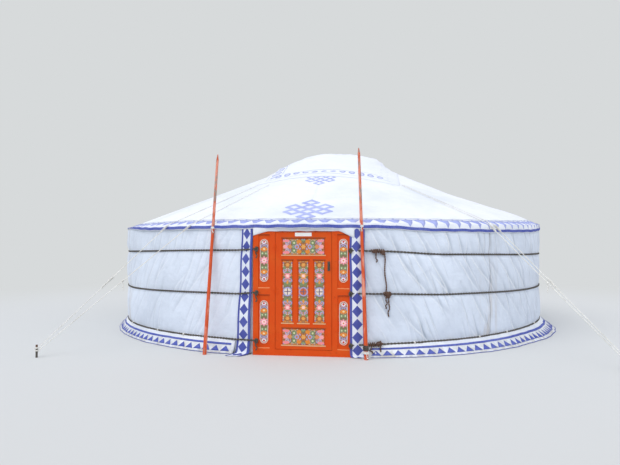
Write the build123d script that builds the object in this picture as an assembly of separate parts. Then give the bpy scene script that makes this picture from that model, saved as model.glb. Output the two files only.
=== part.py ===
"""A yurt eight metres across: a folding lattice wall, roof poles and a crown on two posts, under a felt and
canvas cover that three ropes gird, with a panelled door.

Millimetres, +Z up. The origin is the middle of the floor at ground level and the door faces -Y.
Angles round the wall are in degrees from the middle of the door, positive towards +X.
"""

import os
from math import acos, asin, atan2, cos, degrees, hypot, radians, sin, sqrt, tan

from build123d import *

# Wall
WALL_RADIUS = 4000.0
WALL_COVER = 30.0
WALL_SEGMENTS = 6

# Lattice
LATTICE_PANELS = 8
PANEL_HEADS = 9
PANEL_GAP = 6.0
BAR_WIDTH = 30.0
BAR_THICKNESS = 14.0
BAR_FOOT = 70.0
BAR_HEAD = 70.0
FORK_DROP = 57.0
LATTICE_ROWS = 4

# Roof
ROOF_PITCH = 21.85
ROOF_COVER = 30.0
ROOF_OVERHANG = 12.0
POLE_THICKNESS = 40.0
DOOR_POLES = 4
TENON_WIDTH = 24.0
TENON_LENGTH = 45.0

# Crown and its posts
CROWN_RADIUS = 950.0
CROWN_RING_WIDTH = 85.0
CROWN_RING_HEIGHT = 150.0
CROWN_RING_LIFT = 50.0
CROWN_DOME_RISE = 310.0
CROWN_RIBS = 4
RIB_WIDTH = 40.0
RIB_HEIGHT = 45.0
HUB_RADIUS = 90.0
HUB_HEIGHT = 70.0
POST_THICKNESS = 90.0
POST_FOOT = 220.0
POST_FOOT_HEIGHT = 50.0
POST_HEAD_LENGTH = 420.0
POST_HEAD_HEIGHT = 90.0
POST_HEAD_CUT = (54.0, 126.0)
POST_SIDES = 8
RIB_TENON = 80.0
RIB_FOOT = 20.0

# Crown cover
CROWN_COVER_WIDTH = 2600.0
CROWN_COVER_LENGTH = 3500.0
CROWN_COVER_THICKNESS = 6.0
CROWN_COVER_SHOULDER = 180.0
CROWN_COVER_MARGIN = 50.0

# Door
DOOR_SETBACK = 15.0
LEAF_WIDTH = 775.0
LEAF_HEIGHT = 1600.0
LEAF_THICKNESS = 45.0
JAMB_WIDTH = 310.0
FRAME_DEPTH = 120.0
SILL_HEIGHT = 85.0
LINTEL_HEIGHT = 71.0
STOP_WIDTH = 25.0
DOOR_CLEARANCE = 5.0
JAMB_PANEL_WIDTH = 160.0
JAMB_PANEL_HEIGHTS = ((105.0, 820.0), (930.0, 1650.0))
LOZENGE_WIDTH = 120.0
LOZENGE_HEIGHTS = ((155.0, 755.0), (1005.0, 1595.0))
PANEL_RECESS = 12.0
PANEL_BOARD = 7.0
PANEL_BOARD_INSET = 14.0
ORNAMENT_RELIEF = 8.0
LEAF_PANEL_WIDTH = 600.0
TOP_PANEL = (1370.0, 1610.0)
TALL_PANEL = (440.0, 1310.0)
FOOT_PANEL = (140.0, 380.0)
TALL_PANEL_WIDTH = 160.0
TALL_PANEL_GAP = 60.0
HINGE_HEIGHTS = (300.0, 890.0, 1480.0)
HINGE_RADIUS = 7.0
HINGE_LENGTH = 90.0
HINGE_PLATE = 3.0
HINGE_PLATE_WIDTH = 45.0
HINGE_PIN_RADIUS = 3.0
HANDLE_OFFSET = 350.0
HANDLE_HEIGHT = 1225.0
HANDLE_PLATE = (34.0, 130.0, 4.0)
HANDLE_GRIP_RADIUS = 8.0
HANDLE_REACH = 45.0
HANDLE_GRIP_LENGTH = 95.0
HANDLE_STEM_INSET = 14.0

# Cloth and rope on the outside
FLAP_HEIGHT = 85.0
FLAP_RISE = 15.0
FLAP_THICKNESS = 8.0
STRIP_THICKNESS = 3.0
STRIP_EAVE_GAP = 4.0
STRIP_SECTOR = 30.0
STRIP_TOP_GAP = 8.0
STRIP_TOP_WIDTH = 165.0
LEFT_STRIP_FOOT_GAP = 58.0
LEFT_STRIP_FOOT_WIDTH = 220.0
RIGHT_STRIP_FOOT_GAP = 10.0
RIGHT_STRIP_FOOT_WIDTH = 180.0
SKIRT_TOP = 250.0
SKIRT_REACH = 190.0
SKIRT_THICKNESS = 5.0
SKIRT_START = 14.6
BAND_HEIGHTS = {"lower": 195.0, "middle": 830.0, "upper": 1400.0}
BAND_WIDTH = 26.0
BAND_THICKNESS = 12.0
BAND_END = 25.0
TIE_SIZE = (52.0, 36.0, 60.0)
TIE_ROUNDING = 10.0
TIE_REACH = 648.0
ROPE_RADIUS = 7.0

# Poles that lean on the eave: how far out from the wall each foot stands, and its X at the foot and at the eave
LEAN_POLE_RADIUS = 27.0
LEAN_POLE_TOP_RADIUS = 18.0
LEAN_POLE_LENGTH = 2860.0
LEAN_POLE_TIP = 80.0
POLE_SEAT_STEPS = 4
LEFT_POLE_FOOT_OUT = 275.0
LEFT_POLE_FOOT = -1370.0
LEFT_POLE_EAVE = -1330.0
RIGHT_POLE_FOOT_OUT = 190.0
RIGHT_POLE_FOOT = 856.0
RIGHT_POLE_EAVE = 790.0

# Stay ropes: how far out from the wall each peg stands, its angle, and the angles of its two ropes at the eave
PEG_RADIUS = 14.0
PEG_HEIGHT = 170.0
PEG_ROPE_HEIGHT = 110.0
LEFT_PEG_OUT = 1760.0
RIGHT_PEG_OUT = 1960.0
LEFT_PEG_ANGLE = -38.0
RIGHT_PEG_ANGLE = 42.0
LEFT_STAY_ANGLES = (-25.0, -32.6)
RIGHT_STAY_ANGLES = (40.6, 42.2)
STAY_TOP = 30.0
EAVE_BEND = 40.0
LOOP_HEIGHT = 22.0

# Gap between pieces that seat on each other's curved faces
SEAT = 0.3

slope = tan(radians(ROOF_PITCH))
level = cos(radians(ROOF_PITCH))
door_face = WALL_RADIUS - DOOR_SETBACK
cover_inner = WALL_RADIUS - WALL_COVER
lattice_outer = cover_inner - SEAT
lattice_inner = lattice_outer - 2 * BAR_THICKNESS
lattice_middle = lattice_outer - BAR_THICKNESS
frame_half = LEAF_WIDTH / 2 + DOOR_CLEARANCE + JAMB_WIDTH
opening_half = frame_half - JAMB_WIDTH
lintel_bottom = SILL_HEIGHT + 2 * DOOR_CLEARANCE + LEAF_HEIGHT
leaf_bottom = SILL_HEIGHT + DOOR_CLEARANCE
lattice_start = degrees(asin((frame_half + SEAT) / lattice_inner))
head_pitch = (360 - 2 * lattice_start) / (LATTICE_PANELS * PANEL_HEADS)
pole_end = cover_inner - POLE_THICKNESS / 2 * sin(radians(ROOF_PITCH)) - 2
frame_top = lintel_bottom + LINTEL_HEIGHT
apex = frame_top + pole_end * slope + (ROOF_COVER + POLE_THICKNESS + 2 * SEAT) / level
eave_height = apex - WALL_RADIUS * slope
crown_inner = CROWN_RADIUS - CROWN_RING_WIDTH
crown_middle = CROWN_RADIUS - CROWN_RING_WIDTH / 2
band_inner = WALL_RADIUS + SEAT + STRIP_THICKNESS + SEAT
hinge_x = -opening_half + DOOR_CLEARANCE / 2
hinge_y = -door_face - HINGE_RADIUS - 1


def roof_top(radius):
    """Height of the roof's outer face."""
    return apex - radius * slope


def roof_under(radius):
    """Height of the roof's inner face."""
    return roof_top(radius) - ROOF_COVER / level


def pole_axis(radius):
    """Height of a roof pole's middle line, under the roof cover."""
    return roof_under(radius) - (POLE_THICKNESS / 2 + SEAT) / level


ring_top = roof_top(CROWN_RADIUS) + CROWN_RING_LIFT
ring_bottom = ring_top - CROWN_RING_HEIGHT


def around(radius, angle, height=0.0):
    """A point at this radius and angle from the middle of the door."""
    return Vector(radius * sin(radians(angle)), -radius * cos(radians(angle)), height)


def sector(points, start, end):
    """A profile of (radius, height) points turned round the yurt's axis from one angle to another."""
    profile = make_face(Plane.XZ * Polyline(*points, close=True))
    return Rot(0, 0, start - 90) * revolve(profile, Axis.Z, end - start)


def block(low, high):
    """A box between two corners."""
    size = [b - a for a, b in zip(low, high)]
    middle = [(a + b) / 2 for a, b in zip(low, high)]
    return Pos(*middle) * Box(*size)


def rod(start, end, radius, end_radius=None):
    """A round bar between two points, which may taper."""
    start, end = Vector(start), Vector(end)
    plane = Plane(start, z_dir=end - start)
    length = (end - start).length
    if end_radius is None:
        return plane * Cylinder(radius, length, align=(Align.CENTER, Align.CENTER, Align.MIN))
    return plane * Cone(radius, end_radius, length, align=(Align.CENTER, Align.CENTER, Align.MIN))


def wall_covers():
    """The felt and canvas wall in segments, from one side of the door round to the other."""
    profile = [
        (cover_inner, 0),
        (WALL_RADIUS, 0),
        (WALL_RADIUS, roof_under(WALL_RADIUS) - SEAT),
        (cover_inner, roof_under(cover_inner) - SEAT),
    ]
    first = degrees(asin((frame_half + SEAT) / WALL_RADIUS))
    span = (360 - 2 * first) / WALL_SEGMENTS
    joint = degrees(SEAT / WALL_RADIUS)
    doorway = block((-frame_half - SEAT, -WALL_RADIUS - 10, -10), (frame_half + SEAT, 0, eave_height))
    return {
        f"wall_cover_{i + 1}": sector(profile, first + i * span, first + (i + 1) * span - joint) - doorway
        for i in range(WALL_SEGMENTS)
    }


def lattice_height():
    """Height of the bars' heads, so that a roof pole rests in the fork of the top crossing."""
    return top_crossing() + BAR_HEAD


def bar_lean():
    """How far a bar leans from upright, from the pitch of the heads and the rows of crossings."""
    run = radians(head_pitch) * lattice_middle * LATTICE_ROWS
    rise = pole_axis(lattice_middle) - BAR_FOOT - FORK_DROP
    return degrees(atan2(run, rise))


def top_crossing():
    """Height of the top crossing, whose fork holds a roof pole."""
    lean = radians(bar_lean())
    fork_depth = (BAR_WIDTH / 2 + POLE_THICKNESS / 2 / cos(radians(22.5)) + SEAT) / sin(lean)
    return pole_axis(lattice_middle) - fork_depth


def lattice_panel():
    """One panel of the folding wall, two layers of leaning bars that meet where they cross."""
    span = PANEL_HEADS * head_pitch
    joint = degrees(PANEL_GAP / 2 / lattice_middle)
    height = lattice_height()
    lean = bar_lean()
    length = 2 * height / cos(radians(lean))
    middle_height = (BAR_FOOT + top_crossing()) / 2
    slab = Box(BAR_WIDTH, cover_inner / 5, length)
    layers = []
    for tilt, inner, outer in ((lean, lattice_middle, lattice_outer), (-lean, lattice_inner, lattice_middle)):
        shell = sector(
            [(inner, 0), (outer, 0), (outer, height), (inner, height)], joint, span - joint
        )
        bars = []
        for k in range(-LATTICE_ROWS, PANEL_HEADS + LATTICE_ROWS + 1):
            angle = (k + 0.5) * head_pitch
            place = Rot(0, 0, angle) * Pos(0, -lattice_middle, middle_height) * Rot(0, tilt, 0)
            bars += (shell & (place * slab)).solids() if -span < angle < 2 * span else []
        layers.append(bars)
    outer_bars, inner_bars = layers
    return outer_bars[0].fuse(*outer_bars[1:], *inner_bars)


def lattices():
    """Two panels to a node, eight round the wall."""
    panel = lattice_panel()
    span = PANEL_HEADS * head_pitch
    nodes = {}
    for pair in range(LATTICE_PANELS // 2):
        turns = [lattice_start + (2 * pair + i) * span for i in range(2)]
        nodes[f"lattice_{pair + 1}"] = Compound([Rot(0, 0, turn) * panel for turn in turns])
    return nodes


def pole_angles():
    """Each head of the lattice carries a pole, and the lintel carries a few more."""
    heads = [
        lattice_start + (k + 0.5) * head_pitch for k in range(LATTICE_PANELS * PANEL_HEADS)
    ]
    step = 2 * lattice_start / DOOR_POLES
    over_door = [(k + 0.5) * step - lattice_start for k in range(DOOR_POLES)]
    return over_door + heads


def pole_inner():
    """Radius where a pole's full section ends, just short of the crown ring."""
    return CROWN_RADIUS + 2 * SEAT + POLE_THICKNESS / 2 * sin(radians(ROOF_PITCH))


def tenon(width, length):
    """The squared end of a pole, in the crown's direction, at angle 0."""
    inner = pole_inner()
    start = Vector(0, -inner, pole_axis(inner))
    along = Vector(0, level, sin(radians(ROOF_PITCH)))
    section = Plane(start, x_dir=(1, 0, 0), z_dir=along)
    return extrude(section * Rectangle(width, width), length)


def roof_poles():
    """The poles from the lattice heads to the crown, in four nodes."""
    inner = pole_inner()
    low = Vector(0, -pole_end, pole_axis(pole_end))
    high = Vector(0, -inner, pole_axis(inner))
    section = Plane(low, x_dir=(1, 0, 0), z_dir=high - low)
    outline = RegularPolygon(POLE_THICKNESS / 2, 8, major_radius=False, rotation=22.5)
    pole = extrude(section * outline, (high - low).length) + tenon(TENON_WIDTH, TENON_LENGTH)
    angles = sorted(pole_angles())
    quarter = len(angles) // 4
    return {
        f"roof_poles_{i + 1}": Compound(
            [Rot(0, 0, angle) * pole for angle in angles[i * quarter : (i + 1) * quarter]]
        )
        for i in range(4)
    }


def crown():
    """The wooden ring at the top of the roof, its ribs and hub, and the two posts under it."""
    ring = sector(
        [
            (crown_inner, ring_bottom),
            (CROWN_RADIUS, ring_bottom),
            (CROWN_RADIUS, ring_top),
            (crown_inner, ring_top),
        ],
        0,
        360,
    )
    mortise = tenon(TENON_WIDTH + 2 * SEAT, TENON_LENGTH + SEAT)
    ring -= [Rot(0, 0, angle) * mortise for angle in pole_angles()]
    rise = CROWN_DOME_RISE
    arch = (crown_inner**2 + rise**2) / (2 * rise)
    spring = ring_top - RIB_HEIGHT
    centre = (0, spring + rise - arch)
    outer = Plane.XZ * Pos(*centre) * Circle(arch)
    inner = Plane.XZ * Pos(*centre) * Circle(arch - RIB_HEIGHT)
    disc = extrude(outer - inner, RIB_WIDTH / 2, both=True)
    reach = crown_inner - SEAT
    keep = block((-reach, -RIB_WIDTH, spring), (reach, RIB_WIDTH, spring + rise + RIB_HEIGHT))
    rib = (disc & keep) + [
        block((low, -RIB_WIDTH / 2, ring_bottom + RIB_FOOT), (low + RIB_TENON, RIB_WIDTH / 2, ring_top))
        for low in (-reach, reach - RIB_TENON)
    ]
    hub_top = spring + rise - RIB_HEIGHT / 4
    hub = Pos(0, 0, hub_top - HUB_HEIGHT / 2) * Cylinder(HUB_RADIUS, HUB_HEIGHT)
    spokes = hub + [Rot(0, 0, k * 180 / CROWN_RIBS) * rib for k in range(CROWN_RIBS)]
    return {"crown_ring": ring, "crown_spokes": spokes}


def posts():
    """The two posts that carry the crown ring, each with a foot and a bolster."""
    nodes = {}
    for name, side in (("left", -1), ("right", 1)):
        x = side * crown_middle
        half = POST_THICKNESS / 2
        shaft_top = ring_bottom - POST_HEAD_HEIGHT
        foot = block((x - POST_FOOT / 2, -POST_FOOT / 2, 0), (x + POST_FOOT / 2, POST_FOOT / 2, POST_FOOT_HEIGHT))
        shaft = extrude(
            Pos(x, 0, POST_FOOT_HEIGHT) * RegularPolygon(half, POST_SIDES, major_radius=False, rotation=180 / POST_SIDES),
            shaft_top - POST_FOOT_HEIGHT,
        )
        head = block(
            (x - half, -POST_HEAD_LENGTH / 2, shaft_top),
            (x + half, POST_HEAD_LENGTH / 2, shaft_top + POST_HEAD_HEIGHT),
        )
        lower_edges = head.edges().filter_by(Axis.X).group_by(Axis.Z)[0]
        head = chamfer(lower_edges, *POST_HEAD_CUT)
        nodes[f"post_{name}"] = foot + shaft + head
    return nodes


def roof_covers():
    """The roof cloth in four quarters, from the crown ring to just past the wall."""
    inner, outer = CROWN_RADIUS + SEAT, WALL_RADIUS + ROOF_OVERHANG
    profile = [
        (inner, roof_under(inner)),
        (outer, roof_under(outer)),
        (outer, roof_top(outer)),
        (inner, roof_top(inner)),
    ]
    joint = degrees(SEAT / WALL_RADIUS)
    return {
        f"roof_cover_{i + 1}": sector(profile, 45 + 90 * i, 135 + 90 * i - joint) for i in range(4)
    }


def crown_cover():
    """A rectangle of cloth over the crown, domed on its ribs and lying on the roof around it."""
    lift = SEAT / level
    thick = CROWN_COVER_THICKNESS
    reach = hypot(CROWN_COVER_WIDTH, CROWN_COVER_LENGTH) / 2 + CROWN_COVER_MARGIN
    shoulder = CROWN_RADIUS + CROWN_COVER_SHOULDER
    crest = ring_top - RIB_HEIGHT + CROWN_DOME_RISE + SEAT
    brim = ring_top + SEAT
    dome = (CROWN_RADIUS**2 + (crest - brim) ** 2) / (2 * (crest - brim))
    half = asin(CROWN_RADIUS / dome) / 2
    haunch = Vector(dome * sin(half), crest - dome * (1 - cos(half)))
    edge = Vector(CROWN_RADIUS, brim)
    seat = Vector(shoulder, roof_top(shoulder) + lift)
    end = Vector(reach, roof_top(reach) + lift)
    top = Vector(0, crest)
    up = Vector(0, thick)
    outline = [
        Line(end, seat),
        Line(seat, edge),
        ThreePointArc(edge, haunch, top),
        Line(top, top + up),
        ThreePointArc(top + up, haunch + up, edge + up),
        Line(edge + up, seat + up),
        Line(seat + up, end + up),
        Line(end + up, end),
    ]
    profile = make_face(Plane.XZ * Wire([line.edge() for line in outline]))
    return revolve(profile, Axis.Z, 360) & block(
        (-CROWN_COVER_WIDTH / 2, -CROWN_COVER_LENGTH / 2, 0),
        (CROWN_COVER_WIDTH / 2, CROWN_COVER_LENGTH / 2, 2 * apex),
    )


def door_frame():
    """Sill, two broad jambs with sunk panels, and the lintel under the roof poles."""
    front, back = -door_face, -door_face + FRAME_DEPTH
    stop_front = front + LEAF_THICKNESS + DOOR_CLEARANCE
    nodes = {
        "door_sill": block((-opening_half, front, 0), (opening_half, back, SILL_HEIGHT)),
        "door_lintel": block((-frame_half, front, lintel_bottom), (frame_half, back, frame_top)),
    }
    for name, side in (("left", -1), ("right", 1)):
        x_low, x_high = sorted((side * opening_half, side * frame_half))
        jamb = block((x_low, front, 0), (x_high, back, lintel_bottom))
        s_low, s_high = sorted((side * (opening_half - STOP_WIDTH), side * opening_half))
        jamb += block((s_low, stop_front, SILL_HEIGHT), (s_high, back, lintel_bottom))
        middle = side * (opening_half + JAMB_WIDTH / 2)
        for low, high in JAMB_PANEL_HEIGHTS:
            half = JAMB_PANEL_WIDTH / 2
            jamb -= block((middle - half, front - 1, low), (middle + half, front + PANEL_RECESS, high))
        for low, high in LOZENGE_HEIGHTS:
            outline = Pos(middle, (low + high) / 2) * SlotOverall(high - low, LOZENGE_WIDTH, rotation=90)
            plane = Plane.XZ.offset(door_face - PANEL_RECESS)
            jamb += extrude(plane * outline, ORNAMENT_RELIEF)
        nodes[f"door_jamb_{name}"] = jamb
    return nodes


def leaf_panels():
    """Middle, width and heights of each sunk panel of the leaf."""
    tall_step = TALL_PANEL_WIDTH + TALL_PANEL_GAP
    return [(0.0, LEAF_PANEL_WIDTH, *TOP_PANEL), (0.0, LEAF_PANEL_WIDTH, *FOOT_PANEL)] + [
        (k * tall_step, TALL_PANEL_WIDTH, *TALL_PANEL) for k in (-1, 0, 1)
    ]


def door_leaf():
    """The door leaf with its five sunk panels."""
    half = LEAF_WIDTH / 2
    leaf = block(
        (-half, -door_face, leaf_bottom), (half, -door_face + LEAF_THICKNESS, leaf_bottom + LEAF_HEIGHT)
    )
    for middle, width, low, high in leaf_panels():
        outline = Pos(middle, (low + high) / 2) * Rectangle(width, high - low)
        leaf -= extrude(Plane.XZ.offset(door_face) * outline, -PANEL_RECESS, taper=30)
    return leaf


def door_panels():
    """The carved boards that lie in the leaf's sunk panels."""
    floor = -door_face + PANEL_RECESS
    inset = PANEL_BOARD_INSET
    return Compound(
        [
            block(
                (middle - width / 2 + inset, floor - PANEL_BOARD, low + inset),
                (middle + width / 2 - inset, floor, high - inset),
            )
            for middle, width, low, high in leaf_panels()
        ]
    )


def hinges():
    """Three hinges at the leaf's left edge: fixed knuckles with pins, and knuckles on the leaf."""
    fixed, moving = [], []
    for height in HINGE_HEIGHTS:
        top = height + HINGE_LENGTH / 2
        low = height - HINGE_LENGTH / 2
        face = -door_face
        barrel = Pos(hinge_x, hinge_y, (top + height) / 2) * Cylinder(HINGE_RADIUS, HINGE_LENGTH / 2)
        pin = Pos(hinge_x, hinge_y, height) * Cylinder(HINGE_PIN_RADIUS, HINGE_LENGTH)
        plate = block((hinge_x - HINGE_PLATE_WIDTH, face - HINGE_PLATE, height), (hinge_x, face, top))
        fixed.append(barrel + pin + plate)
        sleeve = Pos(hinge_x, hinge_y, (low + height - SEAT) / 2) * Cylinder(
            HINGE_RADIUS, HINGE_LENGTH / 2 - SEAT
        )
        leaf_plate = block(
            (hinge_x, face - HINGE_PLATE, low), (hinge_x + HINGE_PLATE_WIDTH, face, height - SEAT)
        )
        bore = Pos(hinge_x, hinge_y, height) * Cylinder(HINGE_PIN_RADIUS + SEAT, 2 * HINGE_LENGTH)
        moving.append(sleeve + leaf_plate - bore)
    return {"hinge_fixed": Compound(fixed), "hinge_leaf": Compound(moving)}


def door_handle():
    """A back plate with an upright grip on two short stems."""
    width, height, thick = HANDLE_PLATE
    face = -door_face
    x = HANDLE_OFFSET
    plate = block(
        (x - width / 2, face - thick, HANDLE_HEIGHT - height / 2), (x + width / 2, face, HANDLE_HEIGHT + height / 2)
    )
    reach = face - HANDLE_REACH
    half = HANDLE_GRIP_LENGTH / 2
    grip = rod((x, reach, HANDLE_HEIGHT - half), (x, reach, HANDLE_HEIGHT + half), HANDLE_GRIP_RADIUS)
    stems = [
        rod((x, face - thick / 2, HANDLE_HEIGHT + end), (x, reach, HANDLE_HEIGHT + end), HANDLE_GRIP_RADIUS * 0.7)
        for end in (HANDLE_STEM_INSET - half, half - HANDLE_STEM_INSET)
    ]
    return plate + grip + stems


def lintel_flap():
    """The cloth that hangs from the eave over the head of the door."""
    top = frame_top + FLAP_RISE
    return block(
        (-frame_half, -door_face - SEAT - FLAP_THICKNESS, top - FLAP_HEIGHT), (frame_half, -door_face - SEAT, top)
    )


def strip(side, foot_gap, foot_width):
    """A strip of cloth down the wall beside the door, wider at its foot."""
    top = sorted(side * (frame_half + STRIP_TOP_GAP + reach) for reach in (0, STRIP_TOP_WIDTH))
    foot = sorted(side * (frame_half + foot_gap + reach) for reach in (0, foot_width))
    height = roof_under(WALL_RADIUS) - STRIP_EAVE_GAP
    shell = sector(
        [
            (WALL_RADIUS + SEAT, 0),
            (WALL_RADIUS + SEAT + STRIP_THICKNESS, 0),
            (WALL_RADIUS + SEAT + STRIP_THICKNESS, height),
            (WALL_RADIUS + SEAT, height),
        ],
        -STRIP_SECTOR,
        STRIP_SECTOR,
    )
    outline = Polygon((foot[0], 0), (foot[1], 0), (top[1], height), (top[0], height), align=None)
    return shell & extrude(Plane.XZ * outline, 2 * WALL_RADIUS)


def skirts():
    """The flared hem round the foot of the wall, in two halves."""
    inner = WALL_RADIUS + SEAT
    thick = SKIRT_THICKNESS
    profile = [
        (inner, SKIRT_TOP),
        (inner + SKIRT_REACH, 0),
        (inner + SKIRT_REACH + thick, 0),
        (inner + thick, SKIRT_TOP),
    ]
    joint = degrees(SEAT / WALL_RADIUS)
    return {
        "skirt_right": sector(profile, SKIRT_START, 180 - joint),
        "skirt_left": sector(profile, 180, 360 - SKIRT_START),
    }


def bands():
    """The three ropes that gird the wall and come off it straight to the jambs, with their ties."""
    inner = band_inner
    corner = hypot(frame_half, door_face)
    leave = degrees(atan2(frame_half, door_face) + acos(min(1, (inner - SEAT) / corner)))
    run = sqrt(corner**2 - min(corner, inner) ** 2) + BAND_END
    nodes = {}
    ties = []
    for name, height in BAND_HEIGHTS.items():
        low, high = height - BAND_WIDTH / 2, height + BAND_WIDTH / 2
        loop = sector(
            [(inner, low), (inner + BAND_THICKNESS, low), (inner + BAND_THICKNESS, high), (inner, high)],
            leave,
            360 - leave,
        )
        straight = block((-run, -inner - BAND_THICKNESS, low), (0, -inner, high))
        loop += Rot(0, 0, leave) * straight
        loop += Rot(0, 0, -leave) * block((0, -inner - BAND_THICKNESS, low), (run, -inner, high))
        nodes[f"band_{name}"] = loop
        width, deep, tall = TIE_SIZE
        for side in (-1, 1):
            x = side * TIE_REACH
            ties.append(
                fillet(
                    block(
                        (x - width / 2, -door_face - SEAT - deep, height - tall / 2),
                        (x + width / 2, -door_face - SEAT, height + tall / 2),
                    ).edges(),
                    TIE_ROUNDING,
                )
            )
    nodes["band_ties"] = Compound(ties)
    return nodes


def lean_pole(foot_out, foot_x, eave_x):
    """A round pole that stands on the ground and leans on the eave, pointed at its top."""
    edge = WALL_RADIUS + ROOF_OVERHANG
    rest_height = roof_top(edge)
    foot_radius = WALL_RADIUS + foot_out
    taper = (LEAN_POLE_TOP_RADIUS - LEAN_POLE_RADIUS) / (LEAN_POLE_LENGTH - LEAN_POLE_TIP)
    radius_there = LEAN_POLE_RADIUS + taper * rest_height
    foot = Vector(foot_x, -sqrt(foot_radius**2 - foot_x**2), 0)
    eave = Edge.make_circle(edge, Plane.XY.offset(rest_height))
    eave_out = edge + radius_there
    for _ in range(POLE_SEAT_STEPS):
        rest = Vector(eave_x, -sqrt(eave_out**2 - eave_x**2), rest_height)
        middle_line = Edge.make_line(foot, foot + (rest - foot) * 1.2)
        eave_out += radius_there + SEAT - middle_line.distance_to(eave)
    along = (rest - foot).normalized()
    shoulder = foot + along * (LEAN_POLE_LENGTH - LEAN_POLE_TIP)
    tip = foot + along * LEAN_POLE_LENGTH
    start = foot - along * LEAN_POLE_RADIUS
    pole = rod(start, shoulder, LEAN_POLE_RADIUS, LEAN_POLE_TOP_RADIUS)
    pole += rod(shoulder, tip, LEAN_POLE_TOP_RADIUS, LEAN_POLE_TOP_RADIUS / 4)
    reach = 4 * LEAN_POLE_RADIUS
    ground = block((foot.X - reach, foot.Y - reach, -reach), (foot.X + reach, foot.Y + reach, 0))
    return pole - ground


def stay_rope(peg, eave_angle, height):
    """A taut rope from the crown cover down the roof, over the eave and round a peg."""
    lift = (ROPE_RADIUS + SEAT) / level
    edge = WALL_RADIUS + ROOF_OVERHANG + 3 * ROPE_RADIUS
    start = hypot(CROWN_COVER_WIDTH, CROWN_COVER_LENGTH) / 2 - STAY_TOP
    top = around(start, eave_angle, roof_top(start) + lift)
    turn = around(edge, eave_angle, roof_top(edge) + lift)
    loop_radius = PEG_RADIUS + SEAT + ROPE_RADIUS
    middle = peg + Vector(0, 0, height)
    inwards = Vector(turn.X - peg.X, turn.Y - peg.Y, 0).normalized()
    route = FilletPolyline(top, turn, middle + inwards * loop_radius, radius=EAVE_BEND)
    rope = sweep(Plane(top, z_dir=turn - top) * Circle(ROPE_RADIUS), route)
    loop = Cylinder(loop_radius + ROPE_RADIUS, LOOP_HEIGHT) - Cylinder(PEG_RADIUS + SEAT, 2 * LOOP_HEIGHT)
    return rope + Pos(*middle) * loop


def stays():
    """Pegs in the ground and the pairs of taut ropes that run from the roof to them, the same behind as in front."""
    left = (LEFT_PEG_OUT, LEFT_PEG_ANGLE, LEFT_STAY_ANGLES)
    right = (RIGHT_PEG_OUT, RIGHT_PEG_ANGLE, RIGHT_STAY_ANGLES)
    pegs = []
    nodes = {}
    for name, turn in (("front", 0), ("back", 180)):
        ropes = []
        for out, angle, eave_angles in (left, right):
            peg = around(WALL_RADIUS + out, angle + turn)
            pegs.append(rod(peg, peg + Vector(0, 0, PEG_HEIGHT), PEG_RADIUS))
            for k, eave_angle in enumerate(eave_angles):
                height = PEG_ROPE_HEIGHT + (k - 0.5) * (LOOP_HEIGHT + 2 * ROPE_RADIUS)
                ropes.append(stay_rope(peg, eave_angle + turn, height))
        nodes[f"stay_ropes_{name}"] = Compound(ropes)
    nodes["pegs"] = Compound(pegs)
    return nodes


def model():
    """Every node of the yurt, by name."""
    nodes = {}
    nodes.update(door_frame())
    nodes["door_leaf"] = door_leaf()
    nodes["door_panels"] = door_panels()
    nodes.update(hinges())
    nodes["door_handle"] = door_handle()
    nodes["lintel_flap"] = lintel_flap()
    nodes.update(wall_covers())
    nodes.update(lattices())
    nodes.update(roof_poles())
    nodes.update(crown())
    nodes.update(posts())
    nodes.update(roof_covers())
    nodes["crown_cover"] = crown_cover()
    nodes.update(skirts())
    nodes["strip_left"] = strip(-1, LEFT_STRIP_FOOT_GAP, LEFT_STRIP_FOOT_WIDTH)
    nodes["strip_right"] = strip(1, RIGHT_STRIP_FOOT_GAP, RIGHT_STRIP_FOOT_WIDTH)
    nodes.update(bands())
    nodes["lean_pole_left"] = lean_pole(LEFT_POLE_FOOT_OUT, LEFT_POLE_FOOT, LEFT_POLE_EAVE)
    nodes["lean_pole_right"] = lean_pole(RIGHT_POLE_FOOT_OUT, RIGHT_POLE_FOOT, RIGHT_POLE_EAVE)
    nodes.update(stays())
    return nodes


os.makedirs("parts", exist_ok=True)
for node, shape in model().items():
    export_step(shape, f"parts/{node}.step")
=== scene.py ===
"""Dresses the yurt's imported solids: canvas and felt, ropes, patterned cloth and the painted door.

Metres, +Z up, the door faces -Y. Angles round the wall are in degrees from the middle of the door, towards
+X. Tables of pairs are read with between().
"""

import functools
import math

import bmesh
import bpy
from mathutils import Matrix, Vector, noise


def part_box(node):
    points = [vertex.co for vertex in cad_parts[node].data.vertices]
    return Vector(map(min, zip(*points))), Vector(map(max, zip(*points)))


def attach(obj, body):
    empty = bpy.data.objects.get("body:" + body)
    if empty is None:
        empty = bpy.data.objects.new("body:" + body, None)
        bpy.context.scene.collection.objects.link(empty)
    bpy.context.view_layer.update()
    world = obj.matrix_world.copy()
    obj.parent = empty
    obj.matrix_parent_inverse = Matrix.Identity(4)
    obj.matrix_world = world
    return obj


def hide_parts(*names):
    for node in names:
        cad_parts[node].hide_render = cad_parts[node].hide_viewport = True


bl_info = {
    "name": "Yurt dressing",
    "version": (1, 0, 0),
    "blender": (4, 5, 0),
    "location": "View3D > Sidebar > Yurt",
    "description": "Builds the cloth, ropes, ornament and paint of a yurt around its solids",
    "category": "Object",
}

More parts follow.
